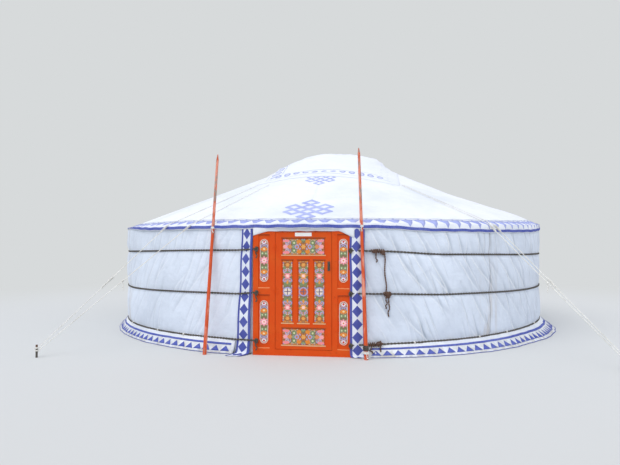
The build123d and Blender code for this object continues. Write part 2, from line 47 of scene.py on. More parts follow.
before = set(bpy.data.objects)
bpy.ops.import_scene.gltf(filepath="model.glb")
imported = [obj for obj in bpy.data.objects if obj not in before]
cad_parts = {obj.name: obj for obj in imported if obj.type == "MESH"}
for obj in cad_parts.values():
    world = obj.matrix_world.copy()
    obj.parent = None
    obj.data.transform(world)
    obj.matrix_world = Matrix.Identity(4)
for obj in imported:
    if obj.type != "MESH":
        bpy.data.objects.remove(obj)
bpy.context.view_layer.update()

# Sizes that the solids have too
WALL_RADIUS = 4.0
WALL_INNER = 3.97
WALL_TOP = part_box("wall_cover_2")[1][2]
WALL_COVERS = [f"wall_cover_{i}" for i in range(1, 7)]
ROOF_COVERS = [f"roof_cover_{i}" for i in range(1, 5)]
ROOF_EDGE = 4.012
ROOF_PITCH = math.radians(21.85)
ROOF_THICKNESS = 0.030
SLOPE = math.tan(ROOF_PITCH)
POLE_COUNT = 76
CROWN_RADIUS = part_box("crown_ring")[1][0]
CROWN_LOW, CROWN_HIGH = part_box("crown_cover")
FRAME_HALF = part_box("door_lintel")[1][0]
DOOR_FACE = -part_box("door_lintel")[0][1]
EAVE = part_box("roof_cover_1")[0][2] + ROOF_THICKNESS / math.cos(ROOF_PITCH)
APEX = EAVE + ROOF_EDGE * SLOPE

# Middles of the jambs, of the lozenges on them, and of the door leaf's wide and tall panels
JAMB_MIDDLE = FRAME_HALF - 0.155
LOZENGE_MIDDLES = (0.455, 1.300)
WIDE_MIDDLES = (1.490, 0.260)
TALL_MIDDLE = 0.875
TALL_STEP = 0.220
# Middle, width, foot and top of the sunk panels of the door leaf
LEAF_PANELS = (
    (0.0, 0.600, 1.370, 1.610),
    (0.0, 0.600, 0.140, 0.380),
    (-TALL_STEP, 0.160, 0.440, 1.310),
    (0.0, 0.160, 0.440, 1.310),
    (TALL_STEP, 0.160, 0.440, 1.310),
)

# Seams of the wall's canvas, and the lean, spacing, length and seed of each set of creases painted on it
SEAM_ANGLES = (41.0, 139.0, -139.0, -57.0)
CREASE_SETS = ((-0.55, 0.21, 0.9, 0.0), (-0.36, 0.13, 0.6, 7.0), (-0.85, 0.30, 0.7, 15.0))

# How far the roof cloth stands off the poles on the right, over the distance from the yurt's axis
LIFT = ((0.95, 0.06), (1.43, 0.08), (1.9, 0.06), (2.44, 0.04), (3.0, 0.065), (3.6, 0.10), (4.012, 0.072))
LIFT_ANGLE = 82.0
LIFT_SPREAD = 24.0
# How much lower the roof's hem hangs, over the angle
HEM_EXTRA = (
    (-180, 0.02), (-130, 0.0), (-85, -0.05), (-62, -0.05), (-36, 0.01), (0, 0.005), (14, 0.015),
    (28, 0.055), (60, 0.06), (84, 0.012), (130, 0.02), (180, 0.02),
)
HEM_BEND = 0.08
SLOPE_ROWS = 40
HEM_ROWS = 9
BORDER_TOP = ROOF_EDGE - 0.115
BORDER_FOOT = ROOF_EDGE + 0.030
BORDER_POINTS = 128

# How far the skirt flares at the ground, over the angle, and where its halves end beside the door
SKIRT_FLARE = (
    (-180, 0.17), (-90, 0.15), (-40, 0.15), (-14, 0.11), (14, 0.13), (45, 0.20), (75, 0.26), (110, 0.20),
    (180, 0.17),
)
SKIRT_RIGHT = 12.2
SKIRT_LEFT = 14.0
# Metres down for each metre of skirt, and the length of one of its triangles
SKIRT_DROP = 0.9
SKIRT_PITCH = 0.150

# The crown cloth's height over the distance from the middle, towards +X, towards -X, and front and back
CROWN_CLOTH_SHIFT = 0.10
HUMP_RIGHT = (
    (0.0, 3.392), (0.20, 3.402), (0.45, 3.374), (0.70, 3.330), (0.96, 3.272), (1.06, 3.205),
    (1.19, 3.075), (1.32, 2.98), (1.75, 2.78), (2.3, 2.45),
)
HUMP_LEFT = (
    (0.0, 3.392), (0.30, 3.366), (0.55, 3.297), (0.80, 3.185), (1.05, 3.077), (1.30, 2.953),
    (1.55, 2.82), (1.9, 2.66), (2.3, 2.45),
)
HUMP_FRONT = (
    (0.0, 3.392), (0.30, 3.372), (0.60, 3.31), (0.85, 3.215), (1.00, 3.120), (1.20, 2.985),
    (1.45, 2.858), (1.9, 2.66), (2.3, 2.45),
)

# Angles where the girth ropes reach the jambs, right and left of the door, and how far across they end
BAND_RIGHT = -350.5
BAND_LEFT = -9.5
BAND_END = 0.640
# Heights of the three girth ropes, at these angles from one jamb round the back to the other
BAND_ANGLES = (BAND_RIGHT, -346, -330, -300, -180, -60, -14, BAND_LEFT)
BAND_RUNS = {
    "upper": tuple(zip(BAND_ANGLES, (1.44, 1.43, 1.38, 1.36, 1.38, 1.40, 1.44, 1.46))),
    "middle": tuple(zip(BAND_ANGLES, (0.86, 0.85, 0.82, 0.80, 0.80, 0.78, 0.83, 0.86))),
    "lower": tuple(zip(BAND_ANGLES, (0.165, 0.17, 0.18, 0.205, 0.195, 0.18, 0.195, 0.20))),
}

# Cells of the endless knot on its slanting lattice, across and along the slope: a middle of four, two loops
# at each side, and one at the top and the foot
KNOT_CELLS = ((1, 0), (-1, 0), (0, -1), (0, 1), (2, -1), (-2, -1), (2, 1), (-2, 1), (0, -3), (0, 3))

# Half the step of the crown cover's ovals and of the strips' diamonds
OVAL_STEP = 0.085
DIAMOND_STEP = 0.0875

# The leaning poles: the foot across and how far out from the wall it stands, and the place across at the eave
LEAN_POLES = ((-1.370, 0.275, -1.330), (0.856, 0.190, 0.790))

# The pegs, how far out from the wall and at which angle, and where the two ropes of each cross the eave
STAYS = (("left", 1.76, -38.0, (-25.0, -32.6)), ("right", 1.96, 42.0, (40.6, 42.2)))
ROPE_RADIUS = 0.007
PEG_RADIUS = 0.014
GAP = 0.0003
# Height on the peg between its two ropes, and how far apart they are
PEG_LEVEL = 0.110
PEG_STEP = 0.036
# How far from the yurt's axis the ropes start: past the crown cover's edges, and 30 mm less than its corners
ROPE_START = math.hypot(2.6, 3.5) / 2 - 0.03
# How near the eave the ropes start to bend
ROPE_BEND = 0.085

BACKDROP = "#d7dadb"
CAMERA_PLACE = (1.067, -11.29, 1.52)
CAMERA_TURN = (math.radians(91.27), 0.0, math.radians(7.6))

# Settings of a Map Range node that eases in and out, and of a Mix node for colours
SMOOTH = {"interpolation_type": "SMOOTHSTEP"}
COLOURS = {"data_type": "RGBA"}

# Colours of the small strokes between the flowers, each for the strokes from this share of them up
STROKE_COLOURS = (
    (0.20, "#a8623a"), (0.42, "#84825c"), (0.55, "#dc8a42"),
    (0.74, "#d2b698"), (0.88, "#9c98bc"),
)
# Edges of the jambs' sunk panels, by height: the top ones in shade, the lower ones in light
PANEL_EDGES = ((0.826, "#7e2f10"), (1.656, "#7e2f10"), (0.099, "#ea9a63"), (0.924, "#ea9a63"))

# Painted shapes on the jambs' lozenges, the tall boards and the wide boards: kind, middle across and along,
# half sizes of a leaf, radius and petals of a flower, or radius and curl of a scroll, and colour
JAMB_SHAPES = (
    ("scroll", 0.020, 0.203, 0.034, 9.0, "#a9a6cf"),
    ("leaf", 0.0, 0.158, 0.046, 0.026, "#e58a35"),
    ("leaf", 0.0, 0.158, 0.016, 0.014, "#f0d2a0"),
    ("leaf", 0.024, 0.098, 0.026, 0.028, "#7d8c66"),
    ("leaf", 0.024, 0.098, 0.010, 0.012, "#cdd5a8"),
    ("flower", 0.0, 0.0, 0.058, 8, "#f29aa6"),
    ("flower", 0.0, 0.0, 0.036, 8, "#fbd3d2"),
    ("leaf", 0.0, 0.0, 0.010, 0.010, "#d9763a"),
    ("leaf", 0.0, 0.252, 0.028, 0.026, "#e9e2ec"),
    ("leaf", 0.0, 0.256, 0.015, 0.015, "#c4481c"),
)
TALL_SHAPES = (
    ("scroll", 0.030, 0.285, 0.036, 9.0, "#a6a4ce"),
    ("scroll", 0.032, 0.150, 0.034, -9.0, "#a6a4ce"),
    ("flower", 0.0, 0.365, 0.050, 6, "#a8683e"),
    ("flower", 0.0, 0.365, 0.028, 6, "#e2a052"),
    ("leaf", 0.040, 0.325, 0.016, 0.026, "#7c9168"),
    ("leaf", 0.026, 0.104, 0.024, 0.024, "#7b8a62"),
    ("leaf", 0.0, 0.128, 0.014, 0.026, "#e29a4a"),
    ("flower", 0.0, 0.215, 0.048, 7, "bloom"),
    ("flower", 0.0, 0.215, 0.026, 7, "#f9cfc8"),
    ("leaf", 0.0, 0.262, 0.040, 0.012, "#7c9168"),
    ("leaf", 0.0, 0.0, 0.064, 0.064, "#a3a3d2"),
    ("leaf", 0.0, 0.0, 0.048, 0.048, "disc"),
)
WIDE_SHAPES = (
    ("scroll", 0.085, 0.0, 0.060, 12.0, "#a6a4ce"),
    ("scroll", 0.215, 0.045, 0.045, -10.0, "#a6a4ce"),
    ("leaf", 0.060, 0.068, 0.034, 0.028, "#e08a38"),
    ("leaf", 0.128, 0.052, 0.034, 0.036, "#7b8a62"),
    ("leaf", 0.128, 0.052, 0.014, 0.014, "#d3d6a4"),
    ("leaf", 0.150, 0.0, 0.030, 0.016, "#8a9f74"),
    ("flower", 0.190, 0.0, 0.034, 6, "#d98f5a"),
    ("leaf", 0.240, 0.080, 0.050, 0.018, "#f08c92"),
    ("flower", 0.248, 0.0, 0.036, 7, "#f3a6a8"),
    ("flower", 0.0, 0.0, 0.060, 6, "#ab6a3e"),
    ("flower", 0.0, 0.0, 0.034, 6, "#e6a658"),
    ("leaf", 0.0, 0.086, 0.022, 0.016, "#8a9f74"),
)


def rgb(code):
    """Linear colour of an sRGB hex code."""
    parts = [int(code[i : i + 2], 16) / 255 for i in (1, 3, 5)]
    return tuple(c / 12.92 if c <= 0.04045 else ((c + 0.055) / 1.055) ** 2.4 for c in parts) + (1.0,)


def add_node(tree, kind, inputs=(), **settings):
    """Adds a shader node with its settings, and sets or links its inputs, by name or in their order. An input
    is given a number, a colour, a socket, or a node, which stands for its first output in use. A colour is a
    hex code or linear parts."""
    node = tree.nodes.new("ShaderNode" + kind)
    for key, value in settings.items():
        setattr(node, key, value)
    for key, value in inputs.items() if isinstance(inputs, dict) else enumerate(inputs):
        if isinstance(value, bpy.types.Node):
            value = next(socket for socket in value.outputs if socket.enabled)
        if isinstance(value, bpy.types.NodeSocket):
            tree.links.new(value, node.inputs[key])
        else:
            node.inputs[key].default_value = rgb(value) if isinstance(value, str) else value
    return node


def material(fill):
    """Turns a function that fills a shader tree into one that gives the named material, made only once. The
    function gets add_node for its tree, as add, and the place in Object coordinates."""

    @functools.wraps(fill)
    def made(name, *values, **options):
        found = bpy.data.materials.get(name)
        if found is None:
            found = bpy.data.materials.new(name)
            found.use_nodes = True
            found.node_tree.nodes.clear()
            add = functools.partial(add_node, found.node_tree)
            fill(add, add("TexCoord").outputs["Object"], *values, **options)
        return found

    return made


def finish_shader(add, colour, roughness, height, depth, **shader):
    """The shader and the output, with a bump of this depth."""
    bump = add("Bump", {"Height": height, "Strength": 1.0, "Distance": depth})
    inputs = {"Base Color": colour, "Roughness": roughness}
    inputs.update({key.replace("_", " "): value for key, value in shader.items()})
    principled = add("BsdfPrincipled", {**inputs, "Normal": bump})
    add("OutputMaterial", {"Surface": principled})


def cut_metres(add):
    """Metres across and along a sheet, from its UV map."""
    parts = add("SeparateXYZ", (add("UVMap", uv_map="cut"),)).outputs
    return parts["X"], parts["Y"]


def away(add, value, middle):
    """Distance from a middle."""
    return add("Math", (add("Math", (value, middle), operation="SUBTRACT"),), operation="ABSOLUTE")


def slanting_creases(add, place):
    """Long creases that run down and away from the door on both sides: the crest of each, for its bump and
    its painted highlight, and the painted shade on one side of it, from 0 to 1. They are fainter on the left.
    Half the round is behind the door."""
    run, height = cut_metres(add)
    half_round = math.pi * WALL_RADIUS
    across = add("Math", (run, half_round), operation="PINGPONG")
    on_left = add("Math", (run, half_round), operation="GREATER_THAN")
    strength = add("Math", (on_left, -0.45, 1.0), operation="MULTIPLY_ADD")
    crests = 0.0
    shades = 0.0
    for lean, spacing, reach, seed in CREASE_SETS:
        slow = {"Vector": place, "Scale": 0.9, "Detail": 1.0, "W": seed}
        wander = add("TexNoise", slow, noise_dimensions="4D")
        slid = add("Math", (height, -lean, across), operation="MULTIPLY_ADD")
        slid = add("Math", (wander, 0.5, slid), operation="MULTIPLY_ADD")
        phase = add("Math", (slid, spacing), operation="DIVIDE")
        along = add("Math", (height, reach), operation="DIVIDE")
        each = add("CombineXYZ", (add("Math", (phase, 0.8), operation="MULTIPLY"), along, seed))
        where = add("TexNoise", {"Vector": each, "Scale": 1.0, "Detail": 1.0})
        shown = add("Math", (add("MapRange", (where, 0.46, 0.66), **SMOOTH), strength), operation="MULTIPLY")
        beside = add("Math", (phase, 0.5), operation="PINGPONG")
        crest = add("MapRange", (beside, 0.0, 0.09, 1.0, 0.0), **SMOOTH)
        past = add("Math", (phase,), operation="FRACT")
        rise = add("MapRange", (past, 0.02, 0.12), **SMOOTH)
        fall = add("MapRange", (past, 0.12, 0.5, 1.0, 0.0), **SMOOTH)
        shade = add("Math", (rise, fall), operation="MULTIPLY")
        crests = add("Math", (crest, shown, crests), operation="MULTIPLY_ADD")
        shades = add("Math", (shade, shown, shades), operation="MULTIPLY_ADD")
    return crests, shades


def seam_distance(add):
    """Metres round the wall to the nearest seam of its canvas."""
    run = cut_metres(add)[0]
    nearest = 1.0
    for angle in SEAM_ANGLES:
        nearest = add("Math", (away(add, run, wall_run(angle % 360)), nearest), operation="MINIMUM")
    return nearest


@material
def cotton_duck(add, place, colour, shade, soil, soil_top, creased=False):
    """Cotton duck canvas, woven and weathered. The eye sees soft grey clouds, dust that rises from the
    ground, rain marks that run down, and a fine crumple. Creased canvas also gets painted shade beside its
    slanting creases and a painted highlight along their crests, and stains and stitching at the seams."""
    clouds = add("TexNoise", {"Vector": place, "Scale": 0.9, "Detail": 5.0, "Roughness": 0.6})
    stretched = add("Mapping", {"Vector": place, "Scale": (6.0, 6.0, 0.7)})
    runs = add("TexNoise", {"Vector": stretched, "Scale": 1.6, "Detail": 6.0, "Roughness": 0.65})
    crumple = add("TexNoise", {"Vector": place, "Scale": 11.0, "Detail": 6.0, "Roughness": 0.6})
    above = add("SeparateXYZ", (place,)).outputs["Z"]
    streaks = add("Math", (add("MapRange", (runs, 0.52, 0.78), **SMOOTH), 0.55), operation="MULTIPLY")
    low_down = add("MapRange", (above, 0.0, soil_top, 0.75, 0.0), **SMOOTH)
    dusty = add("Math", (low_down, add("MapRange", (crumple, 0.3, 0.7), **SMOOTH)), operation="MULTIPLY")
    base = add("Mix", {0: add("MapRange", (clouds, 0.35, 0.75), **SMOOTH), 6: colour, 7: shade}, **COLOURS)
    base = add("Mix", {0: streaks, 6: base, 7: shade}, **COLOURS)
    base = add("Mix", {0: dusty, 6: base, 7: soil}, **COLOURS)
    # A thread is 0.7 mm: too fine for the render, so the weave is drawn at 9 mm
    threads = add("TexWave", {"Vector": place, "Scale": 35.0, "Distortion": 1.0}, bands_direction="Z")
    height = add("Math", (threads.outputs["Fac"], 0.08, crumple), operation="MULTIPLY_ADD")
    if creased:
        crests, shades = slanting_creases(add, place)
        height = add("Math", (crests, 0.35, height), operation="MULTIPLY_ADD")
        # Painted shade on one side of each slanting crease, and a painted highlight along its crest
        for part, share, tint in ((shades, 0.34, "#a4afbe"), (crests, 0.40, "#fafcff")):
            shown = add("Math", (part, share), operation="MULTIPLY", use_clamp=True)
            base = add("Mix", {0: shown, 6: base, 7: tint}, **COLOURS)
        seam = seam_distance(add)
        near = add("MapRange", (seam, 0.02, 0.34, 0.5, 0.0), **SMOOTH)
        stained = add("Math", (near, add("MapRange", (runs, 0.4, 0.7), **SMOOTH)), operation="MULTIPLY")
        higher = add("MapRange", (above, 0.3, 1.2, 1.0, 0.35), **SMOOTH)
        stained = add("Math", (stained, higher), operation="MULTIPLY")
        sewn = add("MapRange", (seam, 0.004, 0.012, 0.45, 0.0), **SMOOTH)
        base = add("Mix", {0: stained, 6: base, 7: "#b9a68c"}, **COLOURS)
        base = add("Mix", {0: sewn, 6: base, 7: "#8f8f94"}, **COLOURS)
        groove = add("MapRange", (seam, 0.0, 0.02, 1.0, 0.0), **SMOOTH)
        height = add("Math", (groove, -0.6, height), operation="MULTIPLY_ADD")
    finish_shader(add, base, 0.9, height, 0.016, Sheen_Weight=0.15)


@material
def wool_felt(add, place, colour, fleck):
    """Pressed wool felt. The eye sees a matt cream surface with darker hair and soft lumps."""
    lumps = add("TexNoise", {"Vector": place, "Scale": 7.0, "Detail": 4.0})
    hair = add("TexNoise", {"Vector": place, "Scale": 90.0, "Detail": 8.0, "Roughness": 0.75})
    base = add("Mix", {0: add("MapRange", (hair, 0.5, 0.7), **SMOOTH), 6: colour, 7: fleck}, **COLOURS)
    height = add("Math", (hair, 0.2, lumps), operation="MULTIPLY_ADD")
    finish_shader(add, base, 0.98, height, 0.012, Sheen_Weight=0.4)


@material
def crown_pattern(add, place):
    """Cotton duck canvas with a border sewn on inside its edge. The eye sees blue ovals between two lines,
    bleached on the right, and a fine crumple."""
    parts = add("SeparateXYZ", (place,)).outputs
    x = away(add, parts["X"], CROWN_CLOTH_SHIFT)
    y = add("Math", (parts["Y"],), operation="ABSOLUTE")
    in_x = add("Math", (CROWN_HIGH[0], x), operation="SUBTRACT")
    in_y = add("Math", (CROWN_HIGH[1], y), operation="SUBTRACT")
    inward = add("Math", (in_x, in_y), operation="MINIMUM")
    on_side = add("Math", (in_x, in_y), operation="LESS_THAN")
    off_side = add("Math", (1.0, on_side), operation="SUBTRACT")
    along_side = add("Math", (on_side, y), operation="MULTIPLY")
    along = add("Math", (along_side, add("Math", (off_side, x), operation="MULTIPLY")), operation="ADD")
    line_inner = add("Math", (away(add, inward, 0.405), 0.009), operation="LESS_THAN")
    line_outer = add("Math", (away(add, inward, 0.150), 0.007), operation="LESS_THAN")
    step = add("Math", (along, OVAL_STEP), operation="PINGPONG")
    oval_x = add("Math", (add("Math", (OVAL_STEP, step), operation="SUBTRACT"), 0.060), operation="DIVIDE")
    oval_y = add("Math", (add("Math", (inward, 0.285), operation="SUBTRACT"), 0.082), operation="DIVIDE")
    reach = add("Math", (oval_x, oval_x), operation="MULTIPLY")
    reach = add("Math", (oval_y, oval_y, reach), operation="MULTIPLY_ADD")
    rim = add("MapRange", (reach, 0.25, 0.45, 0.5, 1.0), **SMOOTH)
    ovals = add("Math", (add("Math", (reach, 1.0), operation="LESS_THAN"), rim), operation="MULTIPLY")
    lines = add("Math", (line_inner, line_outer), operation="MAXIMUM")
    blue = add("Math", (add("Math", (lines, 0.6), operation="MULTIPLY"), ovals), operation="MAXIMUM")
    right = add("MapRange", (parts["X"], 0.5, 0.8, 0.0, 0.85), **SMOOTH)
    bleached = add("Math", (on_side, right), operation="MULTIPLY")
    blue = add("Math", (blue, bleached), operation="SUBTRACT", use_clamp=True)
    clouds = add("TexNoise", {"Vector": place, "Scale": 1.6, "Detail": 5.0})
    crumple = add("TexNoise", {"Vector": place, "Scale": 10.0, "Detail": 6.0})
    white = add("Mix", {0: clouds, 6: "#f3f5fa", 7: "#dde3ee"}, **COLOURS)
    dyed = add("Mix", {0: clouds, 6: "#8f9acd", 7: "#aab3dc"}, **COLOURS)
    base = add("Mix", {0: blue, 6: white, 7: dyed}, **COLOURS)
    finish_shader(add, base, 0.9, crumple, 0.008, Sheen_Weight=0.15)


@material
def strip_pattern(add, place):
    """Printed white cotton. The eye sees a row of blue diamonds between two blue lines."""
    across, along = cut_metres(add)
    step = add("Math", (along, DIAMOND_STEP), operation="PINGPONG")
    up = add("Math", (add("Math", (DIAMOND_STEP, step), operation="SUBTRACT"), 0.080), operation="DIVIDE")
    over = add("Math", (away(add, across, 0.47), 0.33), operation="DIVIDE")
    diamonds = add("Math", (add("Math", (up, over), operation="ADD"), 1.0), operation="LESS_THAN")
    left = add("Math", (across, 0.15), operation="LESS_THAN")
    right = add("Math", (across, 0.80), operation="GREATER_THAN")
    lines = add("Math", (left, right), operation="MAXIMUM")
    blue = add("Math", (lines, diamonds), operation="MAXIMUM")
    clouds = add("TexNoise", {"Vector": place, "Scale": 5.0, "Detail": 5.0})
    white = add("Mix", {0: clouds, 6: "#eceff6", 7: "#cdd4e2"}, **COLOURS)
    dyed = add("Mix", {0: clouds, 6: "#3c4598", 7: "#5a63ac"}, **COLOURS)
    base = add("Mix", {0: blue, 6: white, 7: dyed}, **COLOURS)
    finish_shader(add, base, 0.9, clouds, 0.004)


@material
def dyed_cotton(add, place, colour, faded):
    """Dyed cotton cut out and sewn on. The eye sees an uneven dye, faded by the sun."""
    fading = add("TexNoise", {"Vector": place, "Scale": 3.0, "Detail": 6.0, "Roughness": 0.7})
    threads = add("TexNoise", {"Vector": place, "Scale": 160.0, "Detail": 2.0})
    base = add("Mix", {0: add("MapRange", (fading, 0.3, 0.75), **SMOOTH), 6: colour, 7: faded}, **COLOURS)
    finish_shader(add, base, 0.9, threads, 0.001)


@material
def twisted_yarn(add, place, colour, dark):
    """Rope of twisted yarn. The eye sees short darker fibres along the strands and grime between them."""
    fibres = add("TexNoise", {"Vector": place, "Scale": 60.0, "Detail": 6.0, "Roughness": 0.7})
    patches = add("TexNoise", {"Vector": place, "Scale": 3.0, "Detail": 4.0})
    grime = add("MapRange", (patches, 0.5, 0.8, 0.0, 0.6), **SMOOTH)
    base = add("Mix", {0: add("MapRange", (fibres, 0.45, 0.7), **SMOOTH), 6: colour, 7: dark}, **COLOURS)
    base = add("Mix", {0: grime, 6: base, 7: dark}, **COLOURS)
    finish_shader(add, base, 0.92, fibres, 0.003)


@material
def forged_iron(add, place, colour, rust):
    """Forged iron left bare. The eye sees a dark uneven skin with rust in patches."""
    skin = add("TexNoise", {"Vector": place, "Scale": 40.0, "Detail": 7.0, "Roughness": 0.65})
    patches = add("TexNoise", {"Vector": place, "Scale": 14.0, "Detail": 4.0})
    rusty = add("MapRange", (patches, 0.5, 0.7), **SMOOTH)
    base = add("Mix", {0: rusty, 6: colour, 7: rust}, **COLOURS)
    metal = add("Math", (1.0, rusty), operation="SUBTRACT", use_clamp=True)
    roughness = add("MapRange", (skin, 0.3, 0.7, 0.45, 0.8), **SMOOTH)
    finish_shader(add, base, roughness, skin, 0.001, Metallic=metal)


@material
def faded_pole(add, place):
    """Round pine pole that has stood in the sun for years. The eye sees orange paint near the ground, and
    higher up pink and grey patches where it has worn through."""
    long = add("Mapping", {"Vector": place, "Scale": (14.0, 14.0, 3.2)})
    patches = add("TexNoise", {"Vector": long, "Scale": 1.0, "Detail": 6.0, "Roughness": 0.65})
    bare = add("TexNoise", {"Vector": long, "Scale": 1.7, "Detail": 5.0, "Roughness": 0.6})
    higher = add("MapRange", (add("SeparateXYZ", (place,)).outputs["Z"], 1.5, 2.0), **SMOOTH)
    pink = add("Math", (higher, 0.13, patches), operation="MULTIPLY_ADD")
    pink = add("MapRange", (pink, 0.52, 0.66), **SMOOTH)
    grey = add("Math", (higher, 0.13, bare), operation="MULTIPLY_ADD")
    grey = add("MapRange", (grey, 0.63, 0.72), **SMOOTH)
    base = add("Mix", {0: pink, 6: "#cf4f1e", 7: "#e08f78"}, **COLOURS)
    base = add("Mix", {0: add("Math", (grey, 0.8), operation="MULTIPLY"), 6: base, 7: "#8b8a80"}, **COLOURS)
    finish_shader(add, base, 0.75, patches, 0.002)


@material
def painted_pine(add, place, colour, worn, dirt, gloss=0.5, ornament=None):
    """Pine boards under brushed oil paint. The eye sees brush marks along the grain, thin and faded patches
    and dirt in the hollows, and where there is an ornament, its shapes."""
    long = add("Mapping", {"Vector": place, "Scale": (60.0, 60.0, 3.0)})
    grain = add("TexNoise", {"Vector": long, "Scale": 1.0, "Detail": 5.0, "Roughness": 0.6})
    patches = add("TexNoise", {"Vector": place, "Scale": 4.0, "Detail": 8.0, "Roughness": 0.7})
    spots = add("TexNoise", {"Vector": place, "Scale": 17.0, "Detail": 5.0, "Roughness": 0.6})
    thin = add("MapRange", (patches, 0.4, 0.8, 0.0, 0.5), **SMOOTH)
    marks = add("MapRange", (grain, 0.62, 0.78, 0.0, 0.8), **SMOOTH)
    dirty = add("MapRange", (spots, 0.6, 0.8, 0.0, 0.5), **SMOOTH)
    base = add("Mix", {0: thin, 6: colour, 7: worn}, **COLOURS)
    base = add("Mix", {0: marks, 6: base, 7: worn}, **COLOURS)
    base = add("Mix", {0: dirty, 6: base, 7: dirt}, **COLOURS)
    if ornament:
        base = ornament(add, place, base)
    roughness = add("MapRange", (patches, 0.3, 0.8, gloss, min(1.0, gloss + 0.3)), **SMOOTH)
    finish_shader(add, base, roughness, grain, 0.0012, Specular_IOR_Level=0.25)


def leaf(add, local, across, along, half_wide, half_tall):
    """1 inside an ellipse on a flat board, 0 outside it."""
    shift = (-across / half_wide, -along / half_tall, 0.0)
    scale = (1 / half_wide, 1 / half_tall, 0.0)
    centred = add("Mapping", {"Vector": local, "Location": shift, "Scale": scale})
    reach = add("VectorMath", (centred,), operation="LENGTH")
    return add("MapRange", (reach, 0.88, 1.08, 1.0, 0.0), **SMOOTH)


def flower(add, local, across, along, radius, petals, curl=0.0):
    """1 inside a flower with this many petals, 0 outside it. With curl, the arms of a scroll."""
    shift = (-across / radius, -along / radius, 0.0)
    centred = add("Mapping", {"Vector": local, "Location": shift, "Scale": (1 / radius, 1 / radius, 0.0)})
    parts = add("SeparateXYZ", (centred,)).outputs
    reach = add("VectorMath", (centred,), operation="LENGTH")
    turn = add("Math", (parts["Y"], parts["X"]), operation="ARCTAN2")
    turn = add("Math", (turn, petals), operation="MULTIPLY")
    turn = add("Math", (reach, curl, turn), operation="MULTIPLY_ADD")
    wave = add("Math", (turn,), operation="COSINE")
    if curl:
        arms = add("MapRange", (wave, -0.2, 0.3), **SMOOTH)
        inside = add("MapRange", (reach, 0.9, 1.08, 1.0, 0.0), **SMOOTH)
        return add("Math", (arms, inside), operation="MULTIPLY")
    rim = add("Math", (wave, 0.16, 0.84), operation="MULTIPLY_ADD")
    past = add("Math", (reach, rim), operation="SUBTRACT")
    return add("MapRange", (past, -0.07, 0.07, 1.0, 0.0), **SMOOTH)


def paint_shapes(add, local, base, shapes, colours):
    """Paints a table of shapes over a colour. A shape's colour may be a key of colours."""
    for kind, across, along, first, second, colour in shapes:
        if kind == "leaf":
            mask = leaf(add, local, across, along, first, second)
        elif kind == "flower":
            mask = flower(add, local, across, along, first, second)
        else:
            mask = flower(add, local, across, along, first, 1, second)
        base = add("Mix", {0: mask, 6: base, 7: colours.get(colour, colour)}, **COLOURS)
    return base


def brushed(add, place):
    """The parts of a place with the small wander of a hand-held brush, 6 mm to each side."""
    wander = add("TexNoise", {"Vector": place, "Scale": 22.0, "Detail": 2.0}).outputs["Color"]
    centred = add("VectorMath", (wander, (0.5, 0.5, 0.5)), operation="SUBTRACT")
    shift = add("VectorMath", {0: centred, "Scale": 0.012}, operation="SCALE")
    return add("SeparateXYZ", (add("VectorMath", (place, shift), operation="ADD"),)).outputs


def foliage(add, local, base):
    """Small strokes of brown, green, orange, cream and lavender, edged dark, that fill the ground between the
    larger flowers."""
    strokes = {"Vector": local, "Scale": 42.0, "Randomness": 0.8}
    cells = add("TexVoronoi", strokes, voronoi_dimensions="2D")
    pick = add("SeparateXYZ", (cells.outputs["Color"],)).outputs["X"]
    for over, colour in STROKE_COLOURS:
        shown = add("Math", (pick, over), operation="GREATER_THAN")
        base = add("Mix", {0: shown, 6: base, 7: colour}, **COLOURS)
    edges = add("TexVoronoi", strokes, voronoi_dimensions="2D", feature="DISTANCE_TO_EDGE")
    dark = add("MapRange", (edges.outputs["Distance"], 0.05, 0.14, 0.8, 0.0), **SMOOTH)
    return add("Mix", {0: dark, 6: base, 7: "#6f4630"}, **COLOURS)


def paint_jamb(add, place, base):
    """The scrolls and flowers on the jambs' raised lozenges, and the light and shade on the panels' edges."""
    parts = brushed(add, place)
    across = away(add, away(add, parts["X"], 0.0), JAMB_MIDDLE)
    along = add("Math", [away(add, parts["Z"], middle) for middle in LOZENGE_MIDDLES], operation="MINIMUM")
    local = add("CombineXYZ", (across, along))
    over_end = add("Math", (add("Math", (along, 0.237), operation="SUBTRACT"), 0.0), operation="MAXIMUM")
    rim = add("VectorMath", (add("CombineXYZ", (across, over_end)),), operation="LENGTH")
    edge = add("MapRange", (rim, 0.056, 0.059, 1.0, 0.0), **SMOOTH)
    ground = add("MapRange", (rim, 0.048, 0.052, 1.0, 0.0), **SMOOTH)
    base = add("Mix", {0: edge, 6: base, 7: "#e6cfc6"}, **COLOURS)
    base = add("Mix", {0: ground, 6: base, 7: foliage(add, local, "#c9855c")}, **COLOURS)
    in_panel = add("Math", (across, 0.081), operation="LESS_THAN")
    for height, colour in PANEL_EDGES:
        near = add("MapRange", (away(add, parts["Z"], height), 0.004, 0.008, 0.8, 0.0), **SMOOTH)
        shown = add("Math", (near, in_panel), operation="MULTIPLY")
        base = add("Mix", {0: shown, 6: base, 7: colour}, **COLOURS)
    return paint_shapes(add, local, base, JAMB_SHAPES, {})


